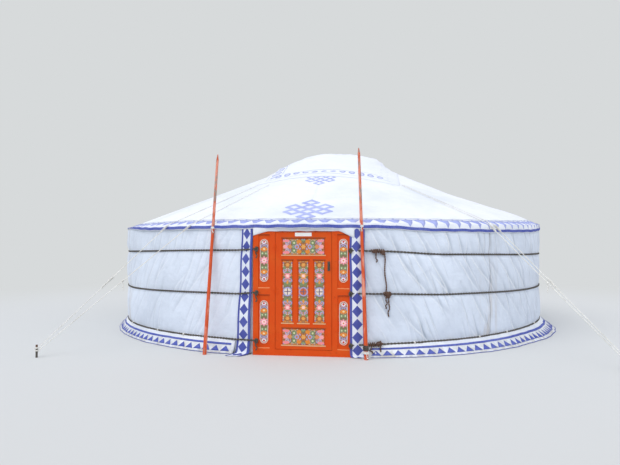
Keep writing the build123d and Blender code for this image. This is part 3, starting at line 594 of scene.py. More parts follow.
def paint_boards(add, place, base):
    """The scrolls, leaves and flowers on the five boards of the door leaf."""
    parts = brushed(add, place)
    centre = away(add, parts["X"], 0.0)
    outer = add("Math", (centre, TALL_STEP / 2), operation="GREATER_THAN")
    across = add("Math", (outer, -TALL_STEP, centre), operation="MULTIPLY_ADD")
    across = add("Math", (across,), operation="ABSOLUTE")
    along = away(add, parts["Z"], TALL_MIDDLE)
    tall = add("CombineXYZ", (across, along))
    nearest = add("Math", [away(add, parts["Z"], middle) for middle in WIDE_MIDDLES], operation="MINIMUM")
    wide = add("CombineXYZ", (centre, nearest))
    own_colours = {
        "bloom": add("Mix", {0: outer, 6: "#e29a4a", 7: "#f08c92"}, **COLOURS),
        "disc": add("Mix", {0: outer, 6: "#cf6a35", 7: "#e6d6c4"}, **COLOURS),
    }
    on_tall = paint_shapes(add, tall, foliage(add, tall, base), TALL_SHAPES, own_colours)
    cross = add("Math", (add("Math", (across, along), operation="MINIMUM"), 0.006), operation="LESS_THAN")
    cross = add("Math", (cross, leaf(add, tall, 0.0, 0.0, 0.046, 0.046)), operation="MULTIPLY")
    on_tall = add("Mix", {0: cross, 6: on_tall, 7: "#6c5c74"}, **COLOURS)
    on_wide = paint_shapes(add, wide, foliage(add, wide, base), WIDE_SHAPES, {})
    on_a_tall = add("Math", (along, 0.46), operation="LESS_THAN")
    return add("Mix", {0: on_a_tall, 6: on_wide, 7: on_tall}, **COLOURS)


def seen_directly(add):
    """1 for rays from the camera, from a mirror or through glass, 0 for the light that falls on things."""
    ray = add("LightPath").outputs
    seen = add("Math", (ray["Is Camera Ray"], ray["Is Glossy Ray"]), operation="MAXIMUM")
    return add("Math", (seen, ray["Is Transmission Ray"]), operation="MAXIMUM")


@material
def studio_floor(add, place):
    """Matt pale floor that takes the shadow near by, and far off turns into the plain background."""
    distance = add("VectorMath", (place,), operation="LENGTH")
    diffuse = add("BsdfDiffuse", {"Color": "#d4d5d3"})
    white = add("Emission", {"Color": BACKDROP, "Strength": 1.0})
    far = add("MapRange", (distance, 6.0, 13.0), **SMOOTH)
    far = add("Math", (far, seen_directly(add)), operation="MULTIPLY")
    add("OutputMaterial", {"Surface": add("MixShader", (far, diffuse, white))})


canvas_trim = functools.partial(cotton_duck, "cotton duck, trim", "#eef1f6", "#d3dae6", "#a8a294", 0.2)
cream_felt = functools.partial(wool_felt, "wool felt, cream", "#d9d0bb", "#9c8f76")
horsehair = functools.partial(twisted_yarn, "horsehair rope", "#5c5750", "#35312c")
cotton_rope = functools.partial(twisted_yarn, "cotton rope", "#f4f3ee", "#c9c6bb")


def chosen(key):
    """Linear parts of one of the colour settings."""
    return tuple(getattr(bpy.context.scene.yurt_colours, key))


def blue_cloth():
    """The cotton of the hem's line and of the skirt's line and triangles."""
    return dyed_cotton("dyed cotton, blue", chosen("blue"), "#6a76bd")


def new_piece(name, mesh, look):
    """A smooth object for a finished mesh, with its material, that rides on the yurt."""
    mesh.polygons.foreach_set("use_smooth", [True] * len(mesh.polygons))
    piece = bpy.data.objects.new(name, mesh)
    bpy.context.scene.collection.objects.link(piece)
    mesh.materials.append(look)
    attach(piece, "yurt")
    return piece


def pick(piece):
    """Selects one object and no other."""
    bpy.ops.object.select_all(action="DESELECT")
    bpy.context.view_layer.objects.active = piece
    piece.select_set(True)


def apply_modifier(piece, kind, **settings):
    """Adds a modifier and applies it."""
    modifier = piece.modifiers.new(kind.title(), kind)
    for key, value in settings.items():
        setattr(modifier, key, value)
    pick(piece)
    bpy.ops.object.modifier_apply(modifier=modifier.name)


def woven_sheet(name, columns, rows, place, look, thickness, stands_for, flip=False):
    """A sheet of cloth on a grid. place(u, v), with both from 0 to 1, gives its outer face, and the UV map
    holds the metres that place gives with it."""
    points = []
    metres = []
    for j in range(rows + 1):
        for i in range(columns + 1):
            point, across, along = place(i / columns, j / rows)
            points.append(point)
            metres.append((across, along))
    faces = []
    for j in range(rows):
        for i in range(columns):
            a = j * (columns + 1) + i
            face = (a, a + 1, a + columns + 2, a + columns + 1)
            faces.append(face[::-1] if flip else face)
    mesh = bpy.data.meshes.new(name)
    mesh.from_pydata(points, [], faces)
    layer = mesh.uv_layers.new(name="cut")
    for loop in mesh.loops:
        layer.data[loop.index].uv = metres[loop.vertex_index]
    piece = new_piece(name, mesh, look)
    apply_modifier(piece, "SOLIDIFY", thickness=thickness, offset=-1.0)
    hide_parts(*stands_for)
    return piece


def merge_seam(piece):
    """Joins the first and last columns of a sheet that goes all the way round."""
    pick(piece)
    bpy.ops.object.mode_set(mode="EDIT")
    bpy.ops.mesh.select_all(action="SELECT")
    bpy.ops.mesh.remove_doubles(threshold=0.0002)
    bpy.ops.object.mode_set(mode="OBJECT")


def around(radius, angle, height):
    """A point at this radius, angle in degrees from the middle of the door, and height."""
    turn = math.radians(angle)
    return Vector((radius * math.sin(turn), -radius * math.cos(turn), height))


def wall_run(angle):
    """Metres round the wall from the middle of the door."""
    return math.radians(angle) * WALL_RADIUS


def half_turns(angle):
    """The same angle between -180 and 180."""
    return (angle + 180) % 360 - 180


def between(table, x):
    """A smooth value from a table of (place, value)."""
    for (x0, y0), (x1, y1) in zip(table, table[1:]):
        if x <= x1:
            t = min(1.0, max(0.0, (x - x0) / (x1 - x0)))
            return y0 + (y1 - y0) * t * t * (3 - 2 * t)
    return table[-1][1]


def band_height(name, angle):
    """Height of a girth rope at this angle."""
    wrapped = half_turns(angle)
    return between(BAND_RUNS[name], wrapped if wrapped < 0 else wrapped - 360)


def crease(run, height, spacing, lean, seed):
    """One set of long slanting creases, from 0 to 1 and narrow at the top of each."""
    wander = 0.6 * noise.noise(Vector((run * 0.9, height * 0.8, seed)))
    line = noise.noise(Vector(((run + lean * height) / spacing + wander, height * 0.55, seed + 5.0)))
    sharp = max(0.0, 1.0 - abs(line) * 2.8)
    strength = max(0.0, 0.4 + 1.4 * noise.noise(Vector((run * 0.7, height * 1.3, seed + 11.0))))
    return sharp**1.5 * min(1.0, strength)


def wall_swell(angle, height):
    """How far the wall cloth stands out from the wall's radius: held in by the ropes, full between them, with
    puckers above and below each rope and long slanting folds, fainter on the left, that end under the hem."""
    settings = bpy.context.scene.yurt_cloth
    stops = [-0.12] + sorted(band_height(name, angle) for name in BAND_RUNS) + [WALL_TOP + 0.13]
    if not stops[0] <= height <= stops[-1]:
        return 0.0
    k = max(i for i in range(len(stops) - 1) if stops[i] <= height)
    low, high = stops[k], stops[k + 1]
    spot = around(WALL_RADIUS, angle, height)
    run = wall_run(angle)
    on_right = (angle + 180) % 360 > 180
    lean = 0.62 if on_right else -0.62
    full = math.sin(math.pi * (height - low) / (high - low))
    near = min(height - low, high - height)
    hung = min(1.0, max(0.0, (WALL_TOP - 0.15 - height) / 0.12))
    pucker = noise.noise(Vector((run * 7.0, height * 1.2, 3.0))) * math.exp(-near / 0.12)
    folds = crease(run, height, 0.30, lean, 1.0) + 0.8 * crease(run, height, 0.17, lean * 0.7, 31.0)
    folds += 0.5 * crease(run, height, 0.4, lean * -1.2, 57.0)
    swell = settings.bulge * full**0.75 * (0.65 + 0.7 * noise.noise(spot * 0.8))
    swell += settings.pucker * pucker * hung
    swell += settings.fold * (1.0 if on_right else 0.6) * min(1.0, near / 0.06) * hung * folds
    return swell + 0.005 * noise.fractal(spot * 5.0, 1.0, 2.1, 3) * full * hung


def on_wall(angle, height, out=0.014):
    """A point this far off the wall cloth."""
    return around(WALL_RADIUS + out + max(0.0, wall_swell(angle, height)), angle, height)


def wall_start(radius):
    """Angle at which the wall meets the door frame."""
    return math.degrees(math.asin((FRAME_HALF + 0.002) / radius))


def wall_canvas():
    """The outer canvas round the wall."""
    start = wall_start(WALL_RADIUS)

    def place(u, v):
        angle = start + (360 - 2 * start) * u
        height = 0.004 + (WALL_TOP - 0.006 + 0.85 * roof_lift(ROOF_EDGE, angle)) * v
        edge = min(1.0, min(u, 1 - u) * 60)
        radius = WALL_RADIUS + 0.001 + edge * wall_swell(angle, height)
        return around(radius, angle, height), wall_run(angle), height

    look = cotton_duck("cotton duck, wall", chosen("wall"), "#d0d9e6", "#aeaa9c", 0.3, creased=True)
    piece = woven_sheet("wall_canvas", 800, 58, place, look, 0.003, WALL_COVERS)


def wall_felt():
    """The felt behind the canvas, seen from inside between the lattice bars."""
    start = wall_start(WALL_INNER)

    def place(u, v):
        angle = start + (360 - 2 * start) * u
        height = 0.004 + (WALL_TOP - 0.02) * v
        lumps = 0.004 * noise.noise(around(WALL_RADIUS, angle, height) * 2.4)
        return around(WALL_INNER + 0.0225 + lumps, angle, height), wall_run(angle), height

    piece = woven_sheet("wall_felt", 320, 14, place, cream_felt(), 0.016, WALL_COVERS)


def roof_lift(radius, angle):
    """How far the roof cloth stands off the poles."""
    share = bpy.context.scene.yurt_cloth.shoulder
    return share * between(LIFT, radius) * math.exp(-((half_turns(angle - LIFT_ANGLE) / LIFT_SPREAD) ** 2))


def roof_height(radius, angle):
    """Height of the roof cloth's outer face: it dips between the poles, and on its right it stands a little
    off them over a fold of felt."""
    spot = around(radius, angle, 0.0)
    out = max(0.0, (radius - CROWN_RADIUS) / (ROOF_EDGE - CROWN_RADIUS))
    dip = 0.5 - 0.5 * math.cos(math.radians(angle) * POLE_COUNT)
    sag = bpy.context.scene.yurt_cloth.roof_sag * dip * out * (0.6 + 0.6 * noise.noise(spot * 0.7))
    ripple = 0.004 * (0.5 + 0.5 * noise.noise(spot * 2.2))
    return APEX - radius * SLOPE - max(0.0, sag) - ripple + roof_lift(radius, angle)


def hem_extra(angle):
    """How much lower than elsewhere the hem hangs here."""
    return between(HEM_EXTRA, half_turns(angle))


def hem_point(angle, over):
    """Where the roof cloth is, this many metres past the eave: it turns down and hangs in front of the wall,
    and over the door frame's head it is pushed out."""
    wave = noise.noise(around(WALL_RADIUS, angle, 0) * 1.7)
    turned = min(1.0, over / HEM_BEND)
    slant = ROOF_PITCH + (math.pi / 2 - ROOF_PITCH) * turned * 0.5
    arc = min(over, HEM_BEND)
    below = max(0.0, over - HEM_BEND)
    height = roof_height(ROOF_EDGE, angle) - arc * math.sin(slant) - below * (1.0 + 0.05 * wave)
    radius = ROOF_EDGE + arc * math.cos(slant) * 0.62
    radius += 0.006 * wave * math.sin(turned * math.pi / 2) + 0.01 * below / HEM_BEND * wave
    radius = max(radius, WALL_RADIUS + 0.008 + wall_swell(angle, min(WALL_TOP - 0.01, height)))
    x = radius * math.sin(math.radians(angle))
    front = radius * math.cos(math.radians(angle))
    if front > 0:
        ease = min(1.0, max(0.0, (FRAME_HALF + 0.12 - abs(x)) / 0.10))
        front += max(0.0, DOOR_FACE + 0.016 - front) * ease * ease * (3 - 2 * ease)
    return Vector((x, -front, height))


def roof_point(reach, angle):
    """A point of the roof cloth, by its distance out from the yurt's axis and on down the hem."""
    if reach <= ROOF_EDGE:
        return around(reach, angle, roof_height(reach, angle))
    return hem_point(angle, reach - ROOF_EDGE)


def roof_canvas():
    """The outer canvas over the roof, from the crown ring to a hem that hangs over the eave."""
    hem_drop = bpy.context.scene.yurt_cloth.hem_drop
    rows = SLOPE_ROWS + HEM_ROWS
    start = CROWN_RADIUS + 0.003

    def place(u, v):
        angle = 360 * u
        row = v * rows
        if row <= SLOPE_ROWS:
            reach = start + (ROOF_EDGE - start) * row / SLOPE_ROWS
        else:
            reach = ROOF_EDGE + (hem_drop + hem_extra(angle)) * (row - SLOPE_ROWS) / HEM_ROWS
        return roof_point(reach, angle), wall_run(angle), reach

    look = cotton_duck("cotton duck, roof", chosen("roof"), "#dfe5ef", "#cfd2d4", 0.1)
    piece = woven_sheet("roof_canvas", 608, rows, place, look, 0.002, ROOF_COVERS, flip=True)
    merge_seam(piece)


def roof_felt():
    """The felt under the roof canvas, seen from inside between the poles."""

    def place(u, v):
        angle = 360 * u
        radius = CROWN_RADIUS + 0.004 + (WALL_RADIUS - 0.015 - CROWN_RADIUS - 0.004) * v
        height = APEX - radius * SLOPE - 0.0135 - 0.004 * noise.noise(around(radius, angle, 0) * 2)
        return around(radius, angle, height), wall_run(angle), radius

    look = cream_felt()
    piece = woven_sheet("roof_felt", 304, 16, place, look, 0.013, ROOF_COVERS, flip=True)
    merge_seam(piece)


def cover_height(x, y, from_edge):
    """Height of the crown cover: a low dome over the ribs that falls steeply on its right, and beyond it the
    cloth lies on the roof, flat along its edge."""
    radius = math.hypot(x, y)
    turn = math.atan2(x, -y)
    ground = roof_height(max(radius, CROWN_RADIUS), math.degrees(turn)) + 0.006
    side = between(HUMP_RIGHT if x > 0 else HUMP_LEFT, radius)
    face = between(HUMP_FRONT, radius)
    share = abs(x) / radius if radius > 1e-6 else 0.0
    dome = face + (side - face) * share * share
    creases = 0.010 * noise.noise(Vector((x * 2.6, y * 2.6, 4.0)))
    creases += 0.006 * noise.noise(Vector((x * 7, y * 7, 1)))
    radial = 0.007 * noise.noise(Vector((math.cos(turn) * 4, math.sin(turn) * 4, 2.0)))
    high = max(ground, dome + radial * min(1.0, radius))
    blend = 0.010 * math.exp(-(((dome - ground) / 0.03) ** 2))
    free = min(1.0, from_edge / 0.16)
    return ground + (high - ground + blend + max(-0.004, creases)) * free


def crown_cloth():
    """The rectangle of cloth over the crown."""
    wide = CROWN_HIGH[0] - CROWN_LOW[0]
    long = CROWN_HIGH[1] - CROWN_LOW[1]

    def place(u, v):
        x = CROWN_CLOTH_SHIFT + CROWN_LOW[0] + 0.02 + (wide - 0.04) * u
        y = CROWN_LOW[1] + 0.02 + (long - 0.04) * v
        drape = 0.012 * noise.noise(Vector((x * 1.5, y * 1.5, 20.0))) * max(abs(u - 0.5), abs(v - 0.5)) * 2
        x += drape
        y -= drape
        from_edge = min(min(u, 1 - u) * wide, min(v, 1 - v) * long)
        return (x, y, cover_height(x, y, from_edge)), x, y

    look = crown_pattern("cotton duck, crown cover")
    piece = woven_sheet("crown_cloth", 130, 170, place, look, 0.003, ["crown_cover"])


def flat_shapes(name, outlines, carry, look, thickness=0.0015, cuts=0):
    """Cloth shapes sewn on a curved cloth. Each outline is a convex list of (across, along), with a lift
    where shapes cross, and carry puts a point of it on the cloth."""
    work = bmesh.new()
    for outline in outlines:
        work.faces.new([work.verts.new((*point, 0.0)[:3]) for point in outline])
    if cuts:
        bmesh.ops.triangulate(work, faces=work.faces[:])
        bmesh.ops.subdivide_edges(work, edges=work.edges[:], cuts=cuts, use_grid_fill=True)
    for vertex in work.verts:
        vertex.co = Vector(carry(vertex.co.x, vertex.co.y)) + Vector((0, 0, vertex.co.z))
    mesh = bpy.data.meshes.new(name)
    work.to_mesh(mesh)
    work.free()
    piece = new_piece(name, mesh, look)
    if thickness:
        apply_modifier(piece, "SOLIDIFY", thickness=thickness, offset=-1.0)
    return piece


def bar(first, last, low, high):
    """A four-sided outline between two places across and two along."""
    return [(first, low), (first, high), (last, high), (last, low)]


def on_roof(lift):
    """Puts (metres round at the wall, reach out and down) on the roof cloth, this far off it."""

    def carry(across, reach):
        angle = math.degrees(across / WALL_RADIUS)
        if reach > BORDER_TOP:
            reach += hem_extra(angle) * min(1.0, (reach - BORDER_TOP) / (BORDER_FOOT - BORDER_TOP))
        point = roof_point(reach, angle)
        tilt = min(1.0, max(0.0, reach - ROOF_EDGE) / 0.05) * math.pi / 2
        out = Vector((point.x, point.y, 0)).normalized()
        return point + out * (lift * math.sin(tilt)) + Vector((0, 0, lift * math.cos(tilt)))

    return carry


def roof_border():
    """Blue triangles and lines round the foot of the roof."""
    pitch = 2 * math.pi * WALL_RADIUS / BORDER_POINTS
    small = pitch * 0.10
    top, foot = BORDER_TOP, BORDER_FOOT
    lines = []
    hem = []
    shapes = []
    for k in range(BORDER_POINTS):
        middle = (k + 0.5) * pitch
        shapes.append([(middle - pitch * 0.5, top), (middle, foot), (middle + pitch * 0.5, top)])
        shapes.append([(middle - small, top - 0.028), (middle, top - 0.010), (middle + small, top - 0.028)])
    for k in range(BORDER_POINTS * 4):
        a, b = k * pitch / 4, (k + 1) * pitch / 4
        lines += [bar(a, b, top - 0.050, top - 0.040), bar(a, b, top - 0.006, top + 0.004)]
        hem += [bar(a, b, foot + 0.004, foot + 0.024), bar(a, b, foot + 0.024, foot + 0.044)]
    lavender = dyed_cotton("dyed cotton, lavender", "#9aa4e0", "#b4bdea")
    grey_blue = dyed_cotton("dyed cotton, grey blue", "#9ba3c0", "#b9bfd4")
    flat_shapes("roof_border_points", shapes, on_roof(0.003), lavender, cuts=2)
    flat_shapes("roof_border_line", lines, on_roof(0.003), grey_blue)
    flat_shapes("roof_border_hem", hem, on_roof(0.005), blue_cloth())


def ribbon(points, width):
    """Quads along a run of (across, along) points, mitred where it bends."""
    steps = [(Vector(b) - Vector(a)).normalized() for a, b in zip(points, points[1:])]
    sides = []
    for (across, along), before, after in zip(points, steps[:1] + steps, steps + steps[-1:]):
        normal = Vector((-(before + after).y, (before + after).x)).normalized()
        reach = width / 2 / max(0.5, normal.dot(Vector((-before.y, before.x))))
        x, y = normal * reach
        sides.append(((across - x, along - y), (across + x, along + y)))
    return [[a[0], b[0], b[1], a[1]] for a, b in zip(sides, sides[1:])]


def knot_shapes(middle, centre, half_wide, half_tall, width):
    """The ribbons of one endless knot: each side of its cells once, run on past a free corner to a tip."""
    sides = set()
    for i, j in KNOT_CELLS:
        corners = [(i - 1, j), (i, j - 1), (i + 1, j), (i, j + 1)]
        for a, b in zip(corners, corners[1:] + corners[:1]):
            sides.add((min(a, b), max(a, b)))
    shapes = []
    for a, b in sorted(sides):
        step = (b[0] - a[0], b[1] - a[1])
        start = 0.0 if ((a[0] - step[0], a[1] - step[1]), a) in sides else -0.16
        end = 1.0 if (b, (b[0] + step[0], b[1] + step[1])) in sides else 1.16
        line = []
        for k in range(5):
            t = start + (end - start) * k / 4
            across = (a[0] + step[0] * t) * half_wide
            along = (a[1] + step[1] * t) * half_tall
            line.append((middle + across * WALL_RADIUS / (centre + along), centre + along))
        lift = 0.0012 if step[1] > 0 else 0.0
        shapes += [[(*corner, lift) for corner in quad] for quad in ribbon(line, width)]
    return shapes


def roof_knots():
    """A large endless knot over the eave on four sides of the roof, and a smaller one above it."""
    shapes = []
    for quarter in range(4):
        middle = wall_run(90 * quarter)
        shapes += knot_shapes(middle, 3.47, 0.113, 0.099, 0.060)
        shapes += knot_shapes(middle, 1.88, 0.082, 0.086, 0.046)
    pale = dyed_cotton("dyed cotton, pale lavender", "#a4aee2", "#bcc5ee")
    flat_shapes("roof_knots", shapes, on_roof(0.002), pale, thickness=0.0)


def skirt_length(angle):
    """Metres of skirt below the lower girth rope."""
    return band_height("lower", angle) / SKIRT_DROP


def skirt_point(angle, below):
    """Where the skirt hangs, this many metres below the lower rope: held there, then flaring out."""
    rope = band_height("lower", angle)
    spot = around(WALL_RADIUS, angle, 0)
    height = max(0.003, rope - below * SKIRT_DROP)
    turn = half_turns(angle)
    reach = between(SKIRT_FLARE, turn) + 0.03 * noise.noise(spot * 0.55) + 0.02 * noise.noise(spot * 2.3)
    reach *= 0.6 + 0.4 * min(1.0, (abs(turn) - SKIRT_RIGHT) / 6)
    drop = max(0.0, (rope - height) / max(0.05, rope))
    flute = 0.012 * noise.noise(Vector((wall_run(angle) * 3.0, 0.0, 7.0))) * drop
    held = WALL_RADIUS + 0.005 + max(0.0, wall_swell(angle, max(height, rope - 0.04)))
    return held + reach * drop**1.25 + flute, height


def skirt_cloths():
    """The flared hem round the foot of the wall, in two halves that meet behind."""
    for name, low, high in (("right", SKIRT_RIGHT, 180.0), ("left", 180.0, 360.0 - SKIRT_LEFT)):

        def place(u, v):
            angle = low + (high - low) * u
            below = -0.012 + (skirt_length(angle) + 0.012) * v
            radius, height = skirt_point(angle, below)
            return around(radius, angle, height), wall_run(angle), below

        label = f"skirt_cloth_{name}"
        solid = f"skirt_{name}"
        piece = woven_sheet(label, 400, 14, place, canvas_trim(), 0.002, [solid], flip=True)
        marks = skirt_marks(name, low, high)


def skirt_marks(name, low, high):
    """The blue line, the row of triangles and the thin hem line on one half of the skirt, by their share of
    its length below the rope."""
    first = wall_run(low) + (0.05 if low < 90 else 0.0)
    last = wall_run(high) - (0.05 if high > 270 else 0.0)
    count = round((last - first) / SKIRT_PITCH)
    pitch = (last - first) / count
    lines = []
    points = []
    for k in range(count):
        a = first + k * pitch
        for left, right in ((a, a + pitch / 2), (a + pitch / 2, a + pitch)):
            lines += [bar(left, right, 0.28, 0.41), bar(left, right, 0.955, 0.985)]
        points.append([(a + pitch * 0.04, 0.82), (a + pitch * 0.96, 0.82), (a + pitch / 2, 0.47)])

    def carry(across, share):
        angle = math.degrees(across / WALL_RADIUS)
        radius, height = skirt_point(angle, share * skirt_length(angle))
        return around(radius + 0.003, angle, height + 0.001)

    return [
        flat_shapes(f"skirt_line_{name}", lines, carry, blue_cloth(), cuts=1),
        flat_shapes(f"skirt_points_{name}", points, carry, blue_cloth(), cuts=1),
    ]


def door_strips():
    """The two strips of patterned cloth that hang beside the door, each with its inner edge at the top and
    the foot, its widths there, and the length of its tail on the ground."""
    for name, side, top_in, foot_in, top_wide, foot_wide, tail in (
        ("left", -1, 0.0, 0.055, 0.165, 0.215, 0.20),
        ("right", 1, -0.068, -0.068, 0.195, 0.222, 0.05),
    ):
        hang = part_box(f"strip_{name}")[1][2] - 0.018

        def place(u, v):
            past = (hang + tail) * v - tail
            bend = math.sqrt(past * past + 0.03**2)
            height = 0.006 + (bend + past) / 2
            laid = (bend - past) / 2
            reach = u if side > 0 else 1 - u
            inner = FRAME_HALF + foot_in + (top_in - foot_in) * v
            x = side * (inner + (foot_wide + (top_wide - foot_wide) * v) * reach)
            x += 0.012 * noise.noise(Vector((side * 3.0, 0.0, height * 2.5)))
            angle = math.degrees(math.asin(x / (WALL_RADIUS + 0.01)))
            out = WALL_RADIUS + 0.008 + max(-0.002, wall_swell(angle, height))
            at_wall = -math.sqrt(out**2 - x * x)
            fade = min(1.0, max(0.0, 1 - (abs(x) - FRAME_HALF - 0.02) / 0.06))
            y = at_wall * (1 - fade) + min(at_wall, -DOOR_FACE - 0.006) * fade
            y -= laid * (0.75 + 0.25 * reach)
            y -= 0.006 * math.sin(u * math.pi) * (1 + noise.noise(Vector((side, u * 3, height * 6))))
            return (x + side * 0.45 * laid, y, height), u, past

        look = strip_pattern("cotton, patterned strip")
        label = f"strip_cloth_{name}"
        piece = woven_sheet(label, 14, 90, place, look, 0.0016, [f"strip_{name}"])


def door_flap():
    """The cloth over the head of the door, lower at its two ends."""
    low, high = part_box("lintel_flap")

    def place(u, v):
        x = low[0] + 0.004 + (high[0] - low[0] - 0.008) * u
        end = min(1.0, min(u, 1 - u) * 6.5)
        drop = 0.092 + (0.10 if u > 0.5 else 0.06) * (1 - end) ** 1.2
        drop += 0.006 * noise.noise(Vector((x * 9, 0, 0)))
        y = -DOOR_FACE - 0.010 - 0.012 * math.sin(math.pi * v)
        y -= 0.006 * noise.noise(Vector((x * 6, 0, v * 2)))
        return (x, y, high[2] + 0.012 - drop * v), x, v

    look = canvas_trim()
    piece = woven_sheet("door_flap", 60, 8, place, look, 0.003, ["lintel_flap"], flip=True)


def even_line(path, step):
    """Points at even steps along a run of points, each with its distance from the start."""
    points = [Vector(p) for p in path]
    run = [0.0]
    for a, b in zip(points, points[1:]):
        run.append(run[-1] + (b - a).length)
    steps = max(6, int(run[-1] / step))
    line = []
    k = 0
    for i in range(steps + 1):
        s = run[-1] * i / steps
        while k < len(run) - 2 and run[k + 1] < s:
            k += 1
        t = (s - run[k]) / max(1e-9, run[k + 1] - run[k])
        line.append((points[k].lerp(points[k + 1], t), s))
    return line


def strands(name, paths, radius, look, pitch, spread=0.8, flat=1.0, sides=5):
    """Ropes of two twisted strands along runs of points. flat is how close the strands lie in the level
    direction."""
    verts = []
    faces = []
    reach = radius * spread
    for path in paths:
        line = even_line(path, pitch / 8)
        steps = len(line) - 1
        for strand in range(2):
            first = len(verts)
            for i, (point, s) in enumerate(line):
                ahead = line[min(i + 1, steps)][0] - line[max(i - 1, 0)][0]
                ahead.normalize()
                side = ahead.cross(Vector((0, 0, 1)))
                if side.length < 0.05:
                    side = ahead.cross(Vector((0, 1, 0)))
                side.normalize()
                over = side.cross(ahead).normalized()
                turn = 2 * math.pi * (s / pitch + strand / 2)
                centre = point + over * math.sin(turn) * reach + side * math.cos(turn) * reach * flat
                for j in range(sides):
                    turn = 2 * math.pi * j / sides
                    verts.append(centre + (side * math.cos(turn) + over * math.sin(turn)) * radius)
            for i in range(steps):
                for j in range(sides):
                    a = first + i * sides + j
                    b = first + i * sides + (j + 1) % sides
                    faces.append((a, b, b + sides, a + sides))
            faces.append(tuple(first + j for j in reversed(range(sides))))
            faces.append(tuple(first + steps * sides + j for j in range(sides)))
    mesh = bpy.data.meshes.new(name)
    mesh.from_pydata([tuple(v) for v in verts], [], faces)
    work = bmesh.new()
    work.from_mesh(mesh)
    bmesh.ops.recalc_face_normals(work, faces=work.faces[:])
    work.to_mesh(mesh)
    work.free()
    return new_piece(name, mesh, look)


def coil(centre, axis, radius, run, turns):
    """The path of a rope wound round an axis, fuller in the middle."""
    axis = Vector(axis).normalized()
    side = axis.cross(Vector((0, 0, 1)))
    if side.length < 0.1:
        side = axis.cross(Vector((1, 0, 0)))
    side.normalize()
    over = side.cross(axis)
    steps = int(turns * 10)
    path = []
    for i in range(steps + 1):
        t = i / steps
        a = 2 * math.pi * turns * t
        reach = radius * (0.85 + 0.2 * math.sin(math.pi * t))
        out = (side * math.cos(a) + over * math.sin(a)) * reach
        path.append(Vector(centre) + axis * ((t - 0.5) * run) + out)
    return path


def lump(angle, height, out, radius, run, turns, rise=0.0):
    """A rope wound round the line of a girth rope, this far off the wall, with its axis rising or falling."""
    axis = around(1.0, angle + 90.0, rise)
    return coil(on_wall(angle, height, out), axis, radius, run, turns)


def hanging(start, drop, sway, seed):
    """The path of a rope's loose end."""
    path = []
    for i in range(9):
        t = i / 8
        wander = sway * noise.noise(Vector((seed, t * 3.0, 0.0))) * t
        path.append(start + Vector((wander, -0.25 * abs(wander), -drop * t)))
    return path


def girth_ropes():
    """The three ropes that gird the wall and run to the jambs."""
    for name in BAND_RUNS:
        path = [(BAND_END, -DOOR_FACE - 0.016, band_height(name, BAND_RIGHT))]
        for k in range(361):
            angle = -347.0 + 334.0 * k / 360
            over_strip = 0.016 * min(1.0, max(0.0, (16.5 - abs(half_turns(angle))) / 2.0))
            path.append(on_wall(angle, band_height(name, angle), 0.014 + over_strip))
        path.append((-BAND_END, -DOOR_FACE - 0.016, band_height(name, BAND_LEFT)))
        piece = strands(f"girth_rope_{name}", [path], 0.0075, horsehair(), 0.10, 0.95, 0.45, 6)
        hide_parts(f"band_{name}")


def rope_knots():
    """The wound knots that hold each girth rope at the jambs, with their tails."""
    for name in BAND_RUNS:
        for side, label in ((-1, "left"), (1, "right")):
            height = band_height(name, BAND_LEFT if side < 0 else BAND_RIGHT)
            x = side * (BAND_END + 0.008)
            y = -DOOR_FACE - 0.02
            path = []
            for k in range(60):
                t = k / 59
                a = 2 * math.pi * 4.5 * t
                across = x + 0.020 * math.cos(a) * (1 - 0.3 * t) + 0.004 * math.sin(3 * a)
                up = height + 0.024 * math.sin(a) + 0.006 * math.cos(2.3 * a) - 0.01 * t
                path.append((across, y - 0.006 - 0.012 * math.sin(a * 0.5 + side), up))
            if side < 0:
                for k in range(8):
                    across = x + side * 0.012 * math.sin(k)
                    path.append((across, y - 0.010 - 0.002 * k, height - 0.03 - 0.014 * k))
            piece = strands(f"knot_{name}_{label}", [path], 0.006, horsehair(), 0.05, sides=6)
            if name == "upper" and side < 0:
                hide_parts("band_ties")


def gathered_ropes():
    """To the right of the door the loose ends of the girth ropes are wound up in lumps, and one end runs down
    from the upper rope to the middle one."""
    upper = band_height("upper", 14.6)
    middle = band_height("middle", 16.2)
    lower = band_height("lower", 14.0)
    paths = [
        lump(14.5, upper, 0.045, 0.022, 0.190, 7),
        coil(on_wall(13.9, upper, 0.050), Vector((0.3, 0.0, 1.0)), 0.024, 0.050, 3),
        coil(on_wall(15.4, upper - 0.02, 0.046), around(1.0, 105.0, -0.5), 0.025, 0.070, 3),
        hanging(on_wall(14.1, upper - 0.02, 0.045), 0.13, 0.06, 3.0),
        lump(16.3, middle, 0.042, 0.026, 0.100, 4),
        coil(on_wall(16.5, middle - 0.01, 0.046), Vector((0.2, 0.0, 1.0)), 0.028, 0.080, 4),
        hanging(on_wall(16.6, middle - 0.04, 0.040), 0.27, 0.07, 9.0),
        hanging(on_wall(16.0, middle - 0.04, 0.044), 0.16, 0.08, 17.0),
        lump(13.3, lower, 0.045, 0.024, 0.110, 4),
        lump(14.7, lower + 0.01, 0.048, 0.027, 0.080, 4, rise=0.4),
        hanging(on_wall(13.1, lower - 0.02, 0.050), 0.10, 0.10, 5.0),
        hanging(on_wall(14.9, lower - 0.02, 0.055), 0.08, 0.10, 12.0),
    ]
    down = []
    for i in range(17):
        t = i / 16
        height = upper + (middle - upper) * t
        down.append(on_wall(15.75 + 0.35 * t + 0.15 * math.sin(3 * math.pi * t), height, 0.016))
    paths.append(down)
    brown = twisted_yarn("horsehair rope, brown", "#74594a", "#423129")
    strands("gathered_ropes", paths, 0.0055, brown, 0.06, 0.9, sides=6)


